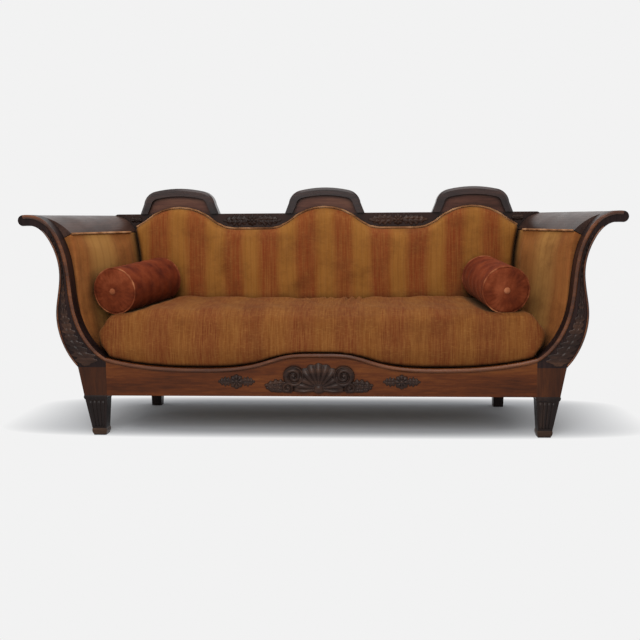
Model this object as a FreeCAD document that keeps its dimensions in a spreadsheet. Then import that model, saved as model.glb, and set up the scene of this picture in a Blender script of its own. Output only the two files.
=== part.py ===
"""A three-arched settee with out-scrolled arms, a loose seat squab and two bolsters.

Millimetres, +Z up, the front faces -Y. The origin is on the floor under the middle of the whole piece.
Depths are counted back from the front plane, which is the face of the seat rail and of the arm facings.
"""
import FreeCAD, Part
import math
import os
from FreeCAD import Placement, Rotation, Vector

os.makedirs("parts", exist_ok=True)
doc = FreeCAD.newDocument("settee")
sheet = doc.addObject("Spreadsheet::Sheet", "Sizes")

# Driving dimensions
SIZES = [
    # the whole piece
    ("overall_width", "2250"),
    ("overall_height", "955"),
    ("back_setback", "560"),
    ("back_frame_thickness", "40"),
    ("cap_overhang", "16"),
    ("carving_relief", "16"),
    ("fit_gap", "0.3"),
    # arm scroll, each level with its inset from the tip and the width of the band
    ("arm_drop", "5"),
    ("lip_thickness", "41"),
    ("lip_round", "20"),
    ("shoulder_inset", "109"),
    ("shoulder_drop", "26"),
    ("underside_inset", "77"),
    ("underside_drop", "10"),
    ("neck_drop", "96"),
    ("neck_inset", "115"),
    ("neck_width", "42"),
    ("waist_height", "615"),
    ("waist_inset", "149"),
    ("waist_width", "38"),
    ("belly_height", "465"),
    ("belly_inset", "131"),
    ("belly_width", "75"),
    ("knee_height", "340"),
    ("knee_inset", "158"),
    ("knee_width", "111"),
    ("facing_depth", "60"),
    ("arm_convergence", "119"),
    ("roll_reach_rear", "113"),
    ("roll_heel_drop", "103"),
    # legs
    ("block_height", "265"),
    ("block_inset", "207"),
    ("block_width", "108"),
    ("block_batter", "21"),
    ("foot_height", "152"),
    ("foot_tip_inset", "258"),
    ("foot_tip_width", "47"),
    ("rear_leg_depth", "64"),
    ("rear_leg_width", "67"),
    ("rear_foot_tip", "42"),
    # seat frame
    ("rail_bottom", "155"),
    ("rail_thickness", "45"),
    ("rail_low", "260"),
    ("rail_low_at", "450"),
    ("rail_arch_rise", "57"),
    ("rail_arch_shoulder_at", "125"),
    ("rail_arch_shoulder_drop", "7"),
    ("rail_arch_flank_at", "222"),
    ("rail_arch_flank_rise", "22"),
    ("rail_arch_foot_at", "350"),
    ("rail_arch_foot_rise", "2"),
    ("rail_end_rise", "40"),
    ("side_rail_inset", "273"),
    ("side_rail_height", "306"),
    ("bead_width", "14"),
    ("bead_proud", "8"),
    ("bead_round", "5"),
    ("brace_width", "30"),
    ("brace_at", "300"),
    ("brace_top", "225"),
    ("corner_block_reach", "75"),
    ("web_width", "56"),
    ("web_thickness", "2.5"),
    ("web_level", "234"),
    ("hessian_thickness", "1.5"),
    # back frame
    ("crest_drop", "109"),
    ("crest_valley_depth", "69"),
    ("crest_lap", "42"),
    ("stile_width", "64"),
    ("back_rail_bottom", "430"),
    ("back_rail_height", "60"),
    ("muntin_at", "292"),
    ("muntin_width", "50"),
    ("hump_end_inset", "492"),
    ("cap_crown_half", "105"),
    ("cap_crown_drop", "12"),
    ("cap_shoulder_half", "155"),
    ("cap_shoulder_drop", "66"),
    ("cap_foot_half", "172"),
    ("cap_thickness", "33"),
    ("cap_round", "10"),
    # upholstery
    ("arch_rise", "91"),
    ("arch_half_span", "240"),
    ("arch_crown_radius", "225"),
    ("piping_width", "9"),
    ("back_pad_bottom", "322"),
    ("back_pad_depth", "58"),
    ("back_pad_roll", "26"),
    ("arm_pad_drop", "70"),
    ("pad_top_proud", "36"),
    ("pad_waist_proud", "13"),
    ("pad_belly_proud", "5"),
    ("pad_knee_sink", "15"),
    ("arm_core_thickness", "16"),
    ("cover_thickness", "3"),
    ("cover_setback", "4"),
    ("squab_end_reach", "42"),
    ("squab_front", "9"),
    ("squab_back", "492"),
    ("squab_front_height", "463"),
    ("squab_back_height", "488"),
    ("squab_roll", "58"),
    ("bolster_radius", "90"),
    ("bolster_length", "405"),
    ("bolster_crown", "7"),
    ("bolster_edge_round", "9"),
    ("bolster_sink", "7"),
    ("bolster_front_depth", "75"),
    ("left_bolster_front_inset", "13"),
    ("left_bolster_rear_inset", "121"),
    ("right_bolster_front_inset", "103"),
    ("right_bolster_rear_inset", "141"),
    ("button_radius", "13"),
    ("button_height", "7"),
    # carving
    ("shell_radius", "104"),
    ("shell_rib_radius", "11"),
    ("volute_radius", "38"),
    ("volute_at", "94"),
    ("volute_height", "236"),
    ("shell_foot_height", "172"),
    ("rosette_at", "311"),
    ("rosette_height", "211"),
    ("rosette_radius", "27"),
    ("rosette_relief", "9"),
    ("spray_reach", "66"),
    ("spray_width", "32"),
    ("leaf_relief", "8"),
    ("crest_leaf_gap", "208.5"),
    ("crest_leaf_width", "46"),
    ("crest_end_leaf_reach", "26"),
    ("crest_end_leaf_width", "28"),
    ("crest_end_leaf_drop", "24"),
    ("knee_leaf_bottom", "292"),
    ("knee_leaf_top", "545"),
]
for row, (alias, value) in enumerate(SIZES, start=1):
    sheet.set(f"A{row}", alias)
    sheet.set(f"B{row}", value)
    sheet.setAlias(f"B{row}", alias)
doc.recompute()


def size(alias):
    """A driving dimension as a number."""
    return float(sheet.get(alias))


HALF_WIDTH = size("overall_width") / 2
BLOCK_INSIDE = HALF_WIDTH - size("block_inset") - size("block_width")
HUMP_SPACING = HALF_WIDTH - size("hump_end_inset")
CREST_LOW = size("overall_height") - size("crest_drop")
ARCH_LOW = CREST_LOW - size("crest_valley_depth")
CREST_BOTTOM = ARCH_LOW - size("crest_lap")
ARM_HEIGHT = CREST_LOW - size("arm_drop")
NECK_HEIGHT = ARM_HEIGHT - size("neck_drop")
ARM_PAD_TOP = ARM_HEIGHT - size("arm_pad_drop")
ROLL_HEEL_HEIGHT = ARM_HEIGHT - size("roll_heel_drop")
TOTAL_DEPTH = size("back_setback") + size("back_frame_thickness") + size("cap_overhang")
MIDDLE = (TOTAL_DEPTH - size("carving_relief")) / 2
MIDDLE_CELLS = (
    "(Sizes.back_setback + Sizes.back_frame_thickness + Sizes.cap_overhang - Sizes.carving_relief) / 2"
)
ARM_RUN = size("back_setback") - size("facing_depth")
ARM_RUN_CELLS = "Sizes.back_setback - Sizes.facing_depth"
ROLE_FRONT = "XZ_Plane"
ROLE_FLOOR = "XY_Plane"
LEFT, RIGHT = -1, 1
SIDES = (("left", LEFT), ("right", RIGHT))


# Curves in the front view, where a point is (x, height)
def at(x, height):
    """A point of the front view."""
    return Vector(x, height, 0)


def curve(points):
    """A smooth curve through the points."""
    spline = Part.BSplineCurve()
    spline.interpolate(points)
    return spline


def line(start, end):
    """A straight edge."""
    return Part.LineSegment(start, end)


def polyline(points):
    """Straight edges from point to point."""
    return [line(a, b) for a, b in zip(points, points[1:])]


def start_of(edge):
    """First point of an edge."""
    return edge.value(edge.FirstParameter)


def end_of(edge):
    """Last point of an edge."""
    return edge.value(edge.LastParameter)


def bisect(low, high, side):
    """The number between low and high where side(number) changes sign."""
    sign_low = side(low) > 0
    for _ in range(50):
        middle = (low + high) / 2
        if (side(middle) > 0) == sign_low:
            low = middle
        else:
            high = middle
    return (low + high) / 2


def x_at(edge, height):
    """Where a rising or falling curve passes a height."""
    return edge.value(bisect(edge.FirstParameter, edge.LastParameter,
                             lambda parameter: edge.value(parameter).y - height)).x


def stations(edge, bottom, top, flats):
    """Points of a curve at even heights, for the pieces that run in flats between them."""
    heights = [bottom + (top - bottom) * step / flats for step in range(flats + 1)]
    return [at(x_at(edge, height), height) for height in heights]


def x_between(points, height):
    """Where straight lines through points of rising height pass a height."""
    for low, high in zip(points, points[1:]):
        if height <= high.y:
            break
    return low.x + (high.x - low.x) * (height - low.y) / (high.y - low.y)


def stretch(points, bottom, top, offset=0.0):
    """The flats between two heights, set sideways by an offset."""
    heights = [bottom] + [point.y for point in points if bottom < point.y < top] + [top]
    return [at(x_between(points, height) + offset, height) for height in heights]


def chords(edge, count):
    """Points spread evenly along a curve."""
    span = edge.LastParameter - edge.FirstParameter
    return [edge.value(edge.FirstParameter + span * step / count) for step in range(count + 1)]


def parallel(edge, distance, steps=9):
    """Points at an even distance to the left of a curve's way."""
    points = []
    span = edge.LastParameter - edge.FirstParameter
    for step in range(steps):
        parameter = edge.FirstParameter + span * step / (steps - 1)
        way = edge.tangent(parameter)[0]
        points.append(edge.value(parameter) + Vector(-way.y, way.x, 0) * distance)
    return points


def mirrored_points(points, side):
    """The points as they are on the right, or mirrored for the left."""
    return [at(side * point.x, point.y) for point in points]


def mirrored(edges, side):
    """The edges as they are on the right, or mirrored for the left."""
    if side == RIGHT:
        return edges
    flip = FreeCAD.Matrix()
    flip.A11 = -1
    turned = []
    for edge in edges:
        copy = edge.copy()
        copy.transform(flip)
        turned.append(copy)
    return turned


# The scroll of an arm, on the right
def scroll_outside():
    """The outer edge of the facing, from the lip's underside down to the leg block."""
    underside = ARM_HEIGHT - size("lip_thickness")
    return curve([
        at(HALF_WIDTH - size("lip_round"), underside),
        at(HALF_WIDTH - size("underside_inset"), underside - size("underside_drop")),
        at(HALF_WIDTH - size("neck_inset"), NECK_HEIGHT),
        at(HALF_WIDTH - size("waist_inset"), size("waist_height")),
        at(HALF_WIDTH - size("belly_inset"), size("belly_height")),
        at(HALF_WIDTH - size("knee_inset"), size("knee_height")),
        at(HALF_WIDTH - size("block_inset"), size("block_height")),
    ])


def scroll_inside():
    """The inner edge of the facing, from the rail's end up to the top of the lip."""
    return curve([
        at(BLOCK_INSIDE, RAIL_END),
        at(HALF_WIDTH - size("knee_inset") - size("knee_width"), size("knee_height")),
        at(HALF_WIDTH - size("belly_inset") - size("belly_width"), size("belly_height")),
        at(HALF_WIDTH - size("waist_inset") - size("waist_width"), size("waist_height")),
        at(HALF_WIDTH - size("neck_inset") - size("neck_width"), NECK_HEIGHT),
        at(HALF_WIDTH - size("shoulder_inset"), ARM_HEIGHT - size("shoulder_drop")),
        at(HALF_WIDTH - size("lip_round"), ARM_HEIGHT),
    ])


def lip_tip(x, top):
    """The rounded edge of the lip, from its top to its underside."""
    thickness = size("lip_thickness")
    start = at(x - size("lip_round"), top)
    end = at(x - size("lip_round"), top - thickness)
    return Part.Arc(start, at(x, top - thickness / 2), end)


def rail_top(raised=0.0):
    """The serpentine top edge of the front rail, from block to block, raised by an amount."""
    low = size("rail_low") + raised
    right = [
        at(size("rail_arch_shoulder_at"), low + size("rail_arch_rise") - size("rail_arch_shoulder_drop")),
        at(size("rail_arch_flank_at"), low + size("rail_arch_flank_rise")),
        at(size("rail_arch_foot_at"), low + size("rail_arch_foot_rise")),
        at(size("rail_low_at"), low),
        at((BLOCK_INSIDE + size("rail_low_at")) / 2, low + size("rail_end_rise") / 5),
        at(BLOCK_INSIDE, low + size("rail_end_rise")),
    ]
    left = [at(-point.x, point.y) for point in reversed(right)]
    return curve(left + [at(0, low + size("rail_arch_rise"))] + right)


RAIL_END = size("rail_low") + size("rail_end_rise")
OUTSIDE = scroll_outside()
INSIDE = scroll_inside()
ARM_FLAT_COUNT = 9
SHELL = stations(OUTSIDE, size("block_height"), ARM_PAD_TOP, ARM_FLAT_COUNT)


def pad_face():
    """The padded inner face of the arm in its front section, from the side rail up."""
    side_rail = size("side_rail_height")
    knee = size("pad_knee_sink")
    return curve([
        at(HALF_WIDTH - size("side_rail_inset") - knee + size("cover_thickness"), side_rail),
        at(x_at(INSIDE, size("knee_height")) + knee, size("knee_height")),
        at(x_at(INSIDE, size("belly_height")) - size("pad_belly_proud"), size("belly_height")),
        at(x_at(INSIDE, size("waist_height")) - size("pad_waist_proud"), size("waist_height")),
        at(x_at(INSIDE, ARM_PAD_TOP) - size("pad_top_proud"), ARM_PAD_TOP),
    ])


PAD_FACE = stations(pad_face(), size("side_rail_height"), ARM_PAD_TOP, ARM_FLAT_COUNT)
PAD_TOP = PAD_FACE[-1]
COVER_SETBACK = size("cover_setback")
CORE_OUTSIDE = COVER_SETBACK + size("cover_thickness")
CORE_INSIDE = CORE_OUTSIDE + size("arm_core_thickness")
ROLL_HEEL = at(x_between(SHELL, ROLL_HEEL_HEIGHT) - COVER_SETBACK, ROLL_HEEL_HEIGHT)


# Making pieces
def plane(body, role):
    """One of the body's own origin planes."""
    return next(feature for feature in body.Origin.OriginFeatures if feature.Role == role)


def sketch_on(body, role, edges, height=None):
    """A sketch on an origin plane of the body, raised to a height if one is given."""
    sketch = body.newObject("Sketcher::SketchObject", body.Label + "_sketch")
    sketch.AttachmentSupport = [(plane(body, role), "")]
    sketch.MapMode = "FlatFace"
    if height is not None:
        sketch.setExpression("AttachmentOffset.Base.z", height)
    for edge in edges:
        sketch.addGeometry(edge, False)
    return sketch


def new_body(label, depth):
    """An empty body whose front lies at a depth behind the front plane."""
    body = doc.addObject("PartDesign::Body", label)
    body.Label = label
    body.AllowCompound = True
    body.setExpression("Placement.Base.y", f"{depth} - {MIDDLE_CELLS}")
    return body


def board(label, edges, depth, thickness):
    """A piece cut to an outline in the front view, running back from a depth."""
    body = new_body(label, depth)
    add_board(body, edges, thickness)
    return body


def add_board(body, edges, thickness):
    """An outline of the front view, padded backwards."""
    pad = body.newObject("PartDesign::Pad", body.Label + "_pad")
    pad.Profile = sketch_on(body, ROLE_FRONT, edges)
    pad.Reversed = True
    pad.setExpression("Length", thickness)
    body.Tip = pad
    return pad


def arm_length(body, edges, side, length=ARM_RUN_CELLS):
    """An outline of the arm's front section, padded back along the line in which the arm runs in."""
    pad = body.newObject("PartDesign::Pad", body.Label + "_pad")
    pad.Profile = sketch_on(body, ROLE_FRONT, mirrored(edges, side))
    pad.UseCustomVector = True
    pad.AlongSketchNormal = True
    pad.setExpression("Direction.x", f"{-side} * Sizes.arm_convergence")
    pad.setExpression("Direction.y", ARM_RUN_CELLS)
    pad.setExpression("Direction.z", "0")
    pad.setExpression("Length", length)
    body.Tip = pad
    return pad


def bevel_edges(body, width, wanted):
    """Bevel the edges of the body's last feature that a test picks."""
    doc.recompute()
    base = body.Tip
    names = [f"Edge{n}" for n, edge in enumerate(base.Shape.Edges, start=1) if wanted(edge)]
    bevel = body.newObject("PartDesign::Chamfer", body.Label + "_bevel")
    bevel.Base = (base, names)
    bevel.setExpression("Size", width)
    body.Tip = bevel


def lies_at(edge, depth):
    """Whether an edge lies whole at one depth of its own body."""
    box = edge.BoundBox
    return abs(box.YMin - depth) < 1e-4 and abs(box.YMax - depth) < 1e-4


def feature(label, shape):
    """A piece whose shape is made from the sizes directly, counted from the front plane."""
    piece = doc.addObject("Part::Feature", label)
    piece.Label = label
    piece.Shape = shape
    piece.Placement = Placement(Vector(0, -MIDDLE, 0), Rotation()).multiply(shape.Placement)
    return piece


def front_edges(edges, depth):
    """Edges of the front view as a wire standing at a depth."""
    stand = FreeCAD.Matrix()
    stand.rotateX(math.pi / 2)
    stand.move(Vector(0, depth, 0))
    shapes = []
    for edge in edges:
        copy = edge.copy()
        copy.transform(stand)
        shapes.append(copy.toShape())
    return Part.Wire(shapes)


def front_prism(edges, near, far):
    """A solid with an outline of the front view, from one depth to another."""
    return Part.Face(front_edges(edges, near)).extrude(Vector(0, far - near, 0))


# Seat frame
def front_rail():
    top = rail_top()
    bottom = size("rail_bottom")
    edges = [top] + polyline([
        end_of(top), at(BLOCK_INSIDE, bottom), at(-BLOCK_INSIDE, bottom), start_of(top),
    ])
    board("front_rail", edges, "0", "Sizes.rail_thickness")


def strip(upper, lower):
    """The outline between two curves that run the same way."""
    return [upper, line(end_of(upper), end_of(lower)), lower, line(start_of(lower), start_of(upper))]


def moulding(label, edges):
    """A round-fronted bead on the front plane."""
    body = board(label, edges, "-Sizes.bead_proud", "Sizes.bead_proud")
    long_side = size("bead_width") * 1.5
    bevel_edges(body, "Sizes.bead_round", lambda edge: lies_at(edge, 0) and edge.Length > long_side)


def front_rail_bead():
    moulding("front_rail_bead", strip(rail_top(), rail_top(-size("bead_width"))))


def leg_block_edges(outer, inner, batter, bottom):
    """The front view of a leg block, which leans in by its batter."""
    top = size("block_height")
    return polyline([
        at(inner, bottom), at(inner, top), at(outer, top), at(outer - batter, bottom), at(inner, bottom),
    ])


def tapered_foot(body, top, tip):
    """A square foot under the block, narrowing down to its tip on the floor.

    Both ends are given as (x from, x to, depth from, depth to).
    """
    foot = body.newObject("PartDesign::AdditiveWedge", body.Label + "_foot")
    foot.Placement = Placement(Vector(0, 0, size("foot_height")), Rotation(Vector(1, 0, 0), -90))
    foot.Xmin, foot.Xmax, foot.Zmin, foot.Zmax = top
    foot.X2min, foot.X2max, foot.Z2min, foot.Z2max = tip
    foot.Ymin = 0
    foot.setExpression("Ymax", "Sizes.foot_height")
    body.Tip = foot


def spread(side, x_near, x_far):
    """Two distances from the middle as a low and a high x on a side."""
    return sorted((side * x_near, side * x_far))


def front_leg(name, side):
    outer = HALF_WIDTH - size("block_inset")
    body = new_body(f"{name}_front_leg", "0")
    foot = size("foot_height")
    add_board(body, mirrored(leg_block_edges(outer, BLOCK_INSIDE, size("block_batter"), foot), side),
              "Sizes.facing_depth")
    tip_outer = HALF_WIDTH - size("foot_tip_inset")
    tip_inner = tip_outer - size("foot_tip_width")
    tip_front = (size("facing_depth") - size("foot_tip_width")) / 2
    tapered_foot(
        body,
        (*spread(side, BLOCK_INSIDE, outer - size("block_batter")), 0, size("facing_depth")),
        (*spread(side, tip_inner, tip_outer), tip_front, tip_front + size("foot_tip_width")),
    )


REAR_LEG_FRONT = size("back_setback") + size("back_frame_thickness") - size("rear_leg_depth")
REAR_LEG_FRONT_CELLS = "(Sizes.back_setback + Sizes.back_frame_thickness - Sizes.rear_leg_depth)"
REAR_LEG_OUTSIDE = HALF_WIDTH - size("block_inset") - COVER_SETBACK - size("arm_convergence")
REAR_LEG_INSIDE = REAR_LEG_OUTSIDE - size("rear_leg_width")


def rear_leg(name, side):
    body = new_body(f"{name}_rear_leg", REAR_LEG_FRONT_CELLS)
    foot = size("foot_height")
    batter = size("block_batter") * 0.7
    edges = leg_block_edges(REAR_LEG_OUTSIDE, REAR_LEG_INSIDE, batter, foot)
    add_board(body, mirrored(edges, side), "Sizes.rear_leg_depth")
    tip = size("rear_foot_tip")
    tip_inner = (REAR_LEG_INSIDE + REAR_LEG_OUTSIDE - batter - tip) / 2
    tapered_foot(
        body,
        (*spread(side, REAR_LEG_INSIDE, REAR_LEG_OUTSIDE - batter), 0, size("rear_leg_depth")),
        (*spread(side, tip_inner, tip_inner + tip), 0, tip),
    )


def rear_rail():
    rail = doc.addObject("Part::Box", "rear_rail")
    rail.Label = "rear_rail"
    rail.Length = 2 * REAR_LEG_INSIDE
    rail.setExpression("Width", "Sizes.rail_thickness")
    rail.setExpression("Height", "Sizes.block_height - Sizes.rail_bottom")
    rear = size("back_setback") + size("back_frame_thickness")
    front = rear - size("rail_thickness") - MIDDLE
    rail.Placement.Base = Vector(-REAR_LEG_INSIDE, front, size("rail_bottom"))


SIDE_RAIL_INSIDE = HALF_WIDTH - size("side_rail_inset")


def side_rail(name, side):
    body = new_body(f"{name}_side_rail", "Sizes.facing_depth")
    block, top = size("block_height"), size("side_rail_height")
    upper = stretch(SHELL, block, top, -CORE_OUTSIDE)
    heel = upper[0]
    foot = at(heel.x - size("block_batter"), size("rail_bottom"))
    lower = polyline([
        heel, foot, at(SIDE_RAIL_INSIDE, size("rail_bottom")), at(SIDE_RAIL_INSIDE, block), heel,
    ])
    arm_length(body, lower, side, f"{REAR_LEG_FRONT_CELLS} - Sizes.facing_depth")
    cap = polyline(upper + [at(SIDE_RAIL_INSIDE, top), at(SIDE_RAIL_INSIDE, block), heel])
    arm_length(body, cap, side)


def inner_plan():
    """The plan of the space inside the seat frame, as a face on the floor."""
    slope = size("arm_convergence") / ARM_RUN
    front = size("rail_thickness")
    rear = size("back_setback") + size("back_frame_thickness") - size("rail_thickness")
    corner_rear = SIDE_RAIL_INSIDE - slope * (REAR_LEG_FRONT - size("facing_depth"))
    right = [
        Vector(BLOCK_INSIDE, front, 0),
        Vector(BLOCK_INSIDE, size("facing_depth"), 0),
        Vector(SIDE_RAIL_INSIDE, size("facing_depth"), 0),
        Vector(corner_rear, REAR_LEG_FRONT, 0),
        Vector(min(corner_rear, REAR_LEG_INSIDE), REAR_LEG_FRONT, 0),
        Vector(min(corner_rear, REAR_LEG_INSIDE), rear, 0),
    ]
    kept = [right[0]]
    for point in right[1:]:
        if (point - kept[-1]).Length > 1e-6:
            kept.append(point)
    left = [Vector(-p.x, p.y, 0) for p in reversed(kept)]
    return Part.Face(Part.makePolygon(kept + left + [kept[0]]))


def plan_slab(bottom, top):
    """The space inside the seat frame between two heights."""
    slab = inner_plan().extrude(Vector(0, 0, top - bottom))
    slab.translate(Vector(0, 0, bottom))
    return slab


def webbing():
    """Two layers of straps across the seat, each strap its own length."""
    level, thick, wide = size("web_level"), size("web_thickness"), size("web_width")
    far = size("back_setback")
    straps = []
    rows = 3
    pitch = (far - size("facing_depth")) / rows
    for row in range(rows):
        y = size("facing_depth") + pitch * (row + 0.5) - wide / 2
        strap = Part.makeBox(2 * HALF_WIDTH, wide, thick, Vector(-HALF_WIDTH, y, level))
        straps.append(strap.common(plan_slab(level, level + thick)))
    columns = 11
    pitch = 2 * (REAR_LEG_INSIDE - wide) / (columns - 1)
    for column in range(columns):
        x = -REAR_LEG_INSIDE + wide / 2 + pitch * column
        strap = Part.makeBox(wide, 2 * far, thick, Vector(x, 0, level + thick))
        straps.append(strap.common(plan_slab(level + thick, level + 2 * thick)))
    feature("seat_webbing", Part.makeCompound([strap.Solids[0] for strap in straps]))


HESSIAN_LEVEL = size("web_level") + 2 * size("web_thickness")
DECK_LEVEL = HESSIAN_LEVEL + size("hessian_thickness")


def hessian():
    feature("seat_hessian", plan_slab(HESSIAN_LEVEL, DECK_LEVEL).Solids[0])


def deck_prism(bottom, raise_by, near, far, reach):
    """A solid whose top is the rail's serpentine carried back, raised by an amount."""
    upper = rail_top(raise_by)
    left, right = start_of(upper), end_of(upper)
    edges = [upper] + polyline([
        right, at(reach, right.y), at(reach, bottom), at(-reach, bottom), at(-reach, left.y), left,
    ])
    return front_prism(edges, near, far)


def deck():
    """The stuffed platform on the hessian, level with the rail's edge."""
    prism = deck_prism(DECK_LEVEL, 0, 0, 2 * size("back_setback"), HALF_WIDTH)
    feature("seat_deck", prism.common(plan_slab(DECK_LEVEL, ARM_HEIGHT)).Solids[0])


def braces():
    """Two cross rails under the webbing, from the front rail to the rear rail."""
    rear = size("back_setback") + size("back_frame_thickness") - size("rail_thickness")
    solids = []
    for side in (LEFT, RIGHT):
        corner = Vector(side * size("brace_at") - size("brace_width") / 2, size("rail_thickness"),
                        size("rail_bottom"))
        solids.append(Part.makeBox(size("brace_width"), rear - size("rail_thickness"),
                                   size("brace_top") - size("rail_bottom"), corner))
    feature("seat_braces", Part.makeCompound(solids))


def corner_blocks():
    """Glue blocks in the four corners of the seat frame."""
    reach = size("corner_block_reach")
    slab = plan_slab(size("rail_bottom") + reach / 10, size("brace_top"))
    front = size("rail_thickness")
    rear = size("back_setback") + size("back_frame_thickness") - size("rail_thickness")
    solids = []
    for side in (LEFT, RIGHT):
        for x, y, way in ((SIDE_RAIL_INSIDE, front, 1), (REAR_LEG_INSIDE, rear, -1)):
            corner = Vector(side * x, y, 0)
            triangle = Part.makePolygon([
                corner + Vector(side * reach, 0, 0) * 0.4,
                corner - Vector(side * reach * 1.4, 0, 0),
                corner + Vector(side * reach * 0.4, way * reach * 1.6, 0),
                corner + Vector(side * reach, 0, 0) * 0.4,
            ])
            block = Part.Face(triangle).extrude(Vector(0, 0, ARM_HEIGHT)).common(slab)
            solids.append(block.Solids[0])
    feature("corner_blocks", Part.makeCompound(solids))


# Arms
ARC_FIT = 0.1


def facing_edges():
    tip = lip_tip(HALF_WIDTH, ARM_HEIGHT)
    close = polyline([end_of(OUTSIDE), at(BLOCK_INSIDE, size("block_height")), start_of(INSIDE)])
    return INSIDE.toBiArcs(ARC_FIT) + [tip] + OUTSIDE.toBiArcs(ARC_FIT) + close


def arm_facing(name, side):
    board(f"{name}_arm_facing", mirrored(facing_edges(), side), "0", "Sizes.facing_depth")


def arm_beads():
    """A bead down the inner edge of each facing."""
    inner = parallel(INSIDE, -size("bead_width"))
    inner[0] = start_of(INSIDE) - at(0, size("bead_width"))
    edges = strip(INSIDE, curve(inner))
    moulding("arm_beads", mirrored(edges, LEFT) + edges)


def knee_leaves():
    """A long leaf up the knee of each scroll, broad at the bottom and pointed at the top."""
    bottom, top = size("knee_leaf_bottom"), size("knee_leaf_top")
    inner, outer = [], []
    steps = 6
    for step in range(steps):
        share = step / (steps - 1)
        height = bottom + (top - bottom) * share
        x_in, x_out = x_at(INSIDE, max(height, RAIL_END + 1)), x_at(OUTSIDE, height)
        bead = size("bead_width") + size("fit_gap")
        room = x_out - x_in - 1.4 * bead
        narrow = 0.42 * room * (1 - share) ** 0.6 * (0.55 + 0.45 * math.sin(math.pi * min(1, share * 3)))
        middle = x_out - room * 0.5
        inner.append(at(middle - narrow, height))
        outer.append(at(middle + narrow, height))
    inner[-1] = outer[-1] = (inner[-1] + outer[-1]) / 2
    edges = [curve(inner), curve(outer), line(inner[0], outer[0])]
    board("knee_leaves", mirrored(edges, LEFT) + edges, "-Sizes.leaf_relief", "Sizes.leaf_relief")


def roll_edges(reach, heel, top):
    """The section of the board that rolls over the arm, from the pad's top edge out to its lip."""
    height = ARM_HEIGHT
    rise = height - top.y
    tip_x = top.x + reach
    tip = lip_tip(tip_x, height)
    upper = curve([
        top,
        at(top.x + 0.20 * reach, top.y + 0.45 * rise),
        at(top.x + 0.42 * reach, top.y + 0.76 * rise),
        at(top.x + 0.66 * reach, top.y + 0.93 * rise),
        start_of(tip),
    ])
    underside = height - size("lip_thickness")
    lower = curve([
        end_of(tip),
        at(tip_x - size("underside_inset") * reach / FRONT_REACH, underside - size("underside_drop")),
        heel,
    ])
    return [upper, tip, lower, line(heel, top)]


ROLL_FLAT_COUNT = 10


def roll_wire(edges, depth):
    """The roll board's section at a depth, in narrow flats."""
    upper, tip, lower, _ = edges
    points = chords(upper, ROLL_FLAT_COUNT)
    points += chords(tip, ROLL_FLAT_COUNT // 2)[1:]
    points += chords(lower, ROLL_FLAT_COUNT)[1:]
    return front_edges(polyline(points + points[:1]), depth)


FRONT_REACH = HALF_WIDTH - PAD_TOP.x
RUN_IN = at(-size("arm_convergence"), 0)


def arm_roll(name, side):
    front = mirrored(roll_edges(FRONT_REACH, ROLL_HEEL, PAD_TOP), side)
    rear = mirrored(roll_edges(size("roll_reach_rear"), ROLL_HEEL + RUN_IN, PAD_TOP + RUN_IN), side)
    wires = [roll_wire(front, size("facing_depth")), roll_wire(rear, size("back_setback"))]
    feature(f"{name}_arm_roll", Part.makeLoft(wires, True, True))


def trimmed(setback, bottom):
    """Points up a surface of the arm's section, from a height to the underside of the roll board."""
    run = ROLL_HEEL - PAD_TOP

    def below_roll(height):
        point = at(x_between(SHELL, height) - setback, height) - PAD_TOP
        return run.x * point.y - run.y * point.x

    return stretch(SHELL, bottom, bisect(ROLL_HEEL.y, PAD_TOP.y, below_roll), -setback)


def band(outer_setback, inner_setback, bottom):
    """A curved board or sheet of the arm between two setbacks."""
    outer, inner = trimmed(outer_setback, bottom), trimmed(inner_setback, bottom)
    return polyline(outer + inner[::-1] + outer[:1])


def arm_core(name, side):
    body = new_body(f"{name}_arm_core", "Sizes.facing_depth")
    arm_length(body, band(CORE_OUTSIDE, CORE_INSIDE, size("side_rail_height")), side)


def outside_arm(name, side):
    body = new_body(f"{name}_outside_arm", "Sizes.facing_depth")
    arm_length(body, band(COVER_SETBACK, CORE_OUTSIDE, size("block_height")), side)


def arm_pad(name, side):
    body = new_body(f"{name}_arm_pad", "Sizes.facing_depth")
    back = trimmed(CORE_INSIDE + size("fit_gap"), size("side_rail_height"))
    arm_length(body, polyline(PAD_FACE + back[::-1] + PAD_FACE[:1]), side)


# Back
def back_side(setback, bottom, top):
    """The arm's outline where it meets the back frame."""
    return stretch(SHELL, bottom, top, -setback - size("arm_convergence"))


def back_stile(name, side):
    bottom, top = size("block_height"), CREST_BOTTOM
    outer = back_side(CORE_OUTSIDE, bottom, top)
    inner = outer[0].x - size("stile_width")
    edges = polyline(outer + [at(inner, top), at(inner, bottom), outer[0]])
    board(f"{name}_back_stile", mirrored(edges, side), "Sizes.back_setback", "Sizes.back_frame_thickness")


STILE_INSIDE = (HALF_WIDTH - size("block_inset") - CORE_OUTSIDE - size("arm_convergence")
                - size("stile_width"))


def back_bottom_rail():
    rail = doc.addObject("Part::Box", "back_bottom_rail")
    rail.Label = "back_bottom_rail"
    rail.Length = 2 * STILE_INSIDE
    rail.setExpression("Width", "Sizes.back_frame_thickness")
    rail.setExpression("Height", "Sizes.back_rail_height")
    rail.Placement.Base = Vector(-STILE_INSIDE, size("back_setback") - MIDDLE, size("back_rail_bottom"))


def back_muntins():
    """Two uprights between the bottom rail and the crest rail."""
    bottom = size("back_rail_bottom") + size("back_rail_height")
    solids = []
    for side in (LEFT, RIGHT):
        corner = Vector(side * size("muntin_at") - size("muntin_width") / 2, size("back_setback"), bottom)
        solids.append(Part.makeBox(size("muntin_width"), size("back_frame_thickness"),
                                   CREST_BOTTOM - bottom, corner))
    feature("back_muntins", Part.makeCompound(solids))


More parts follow.
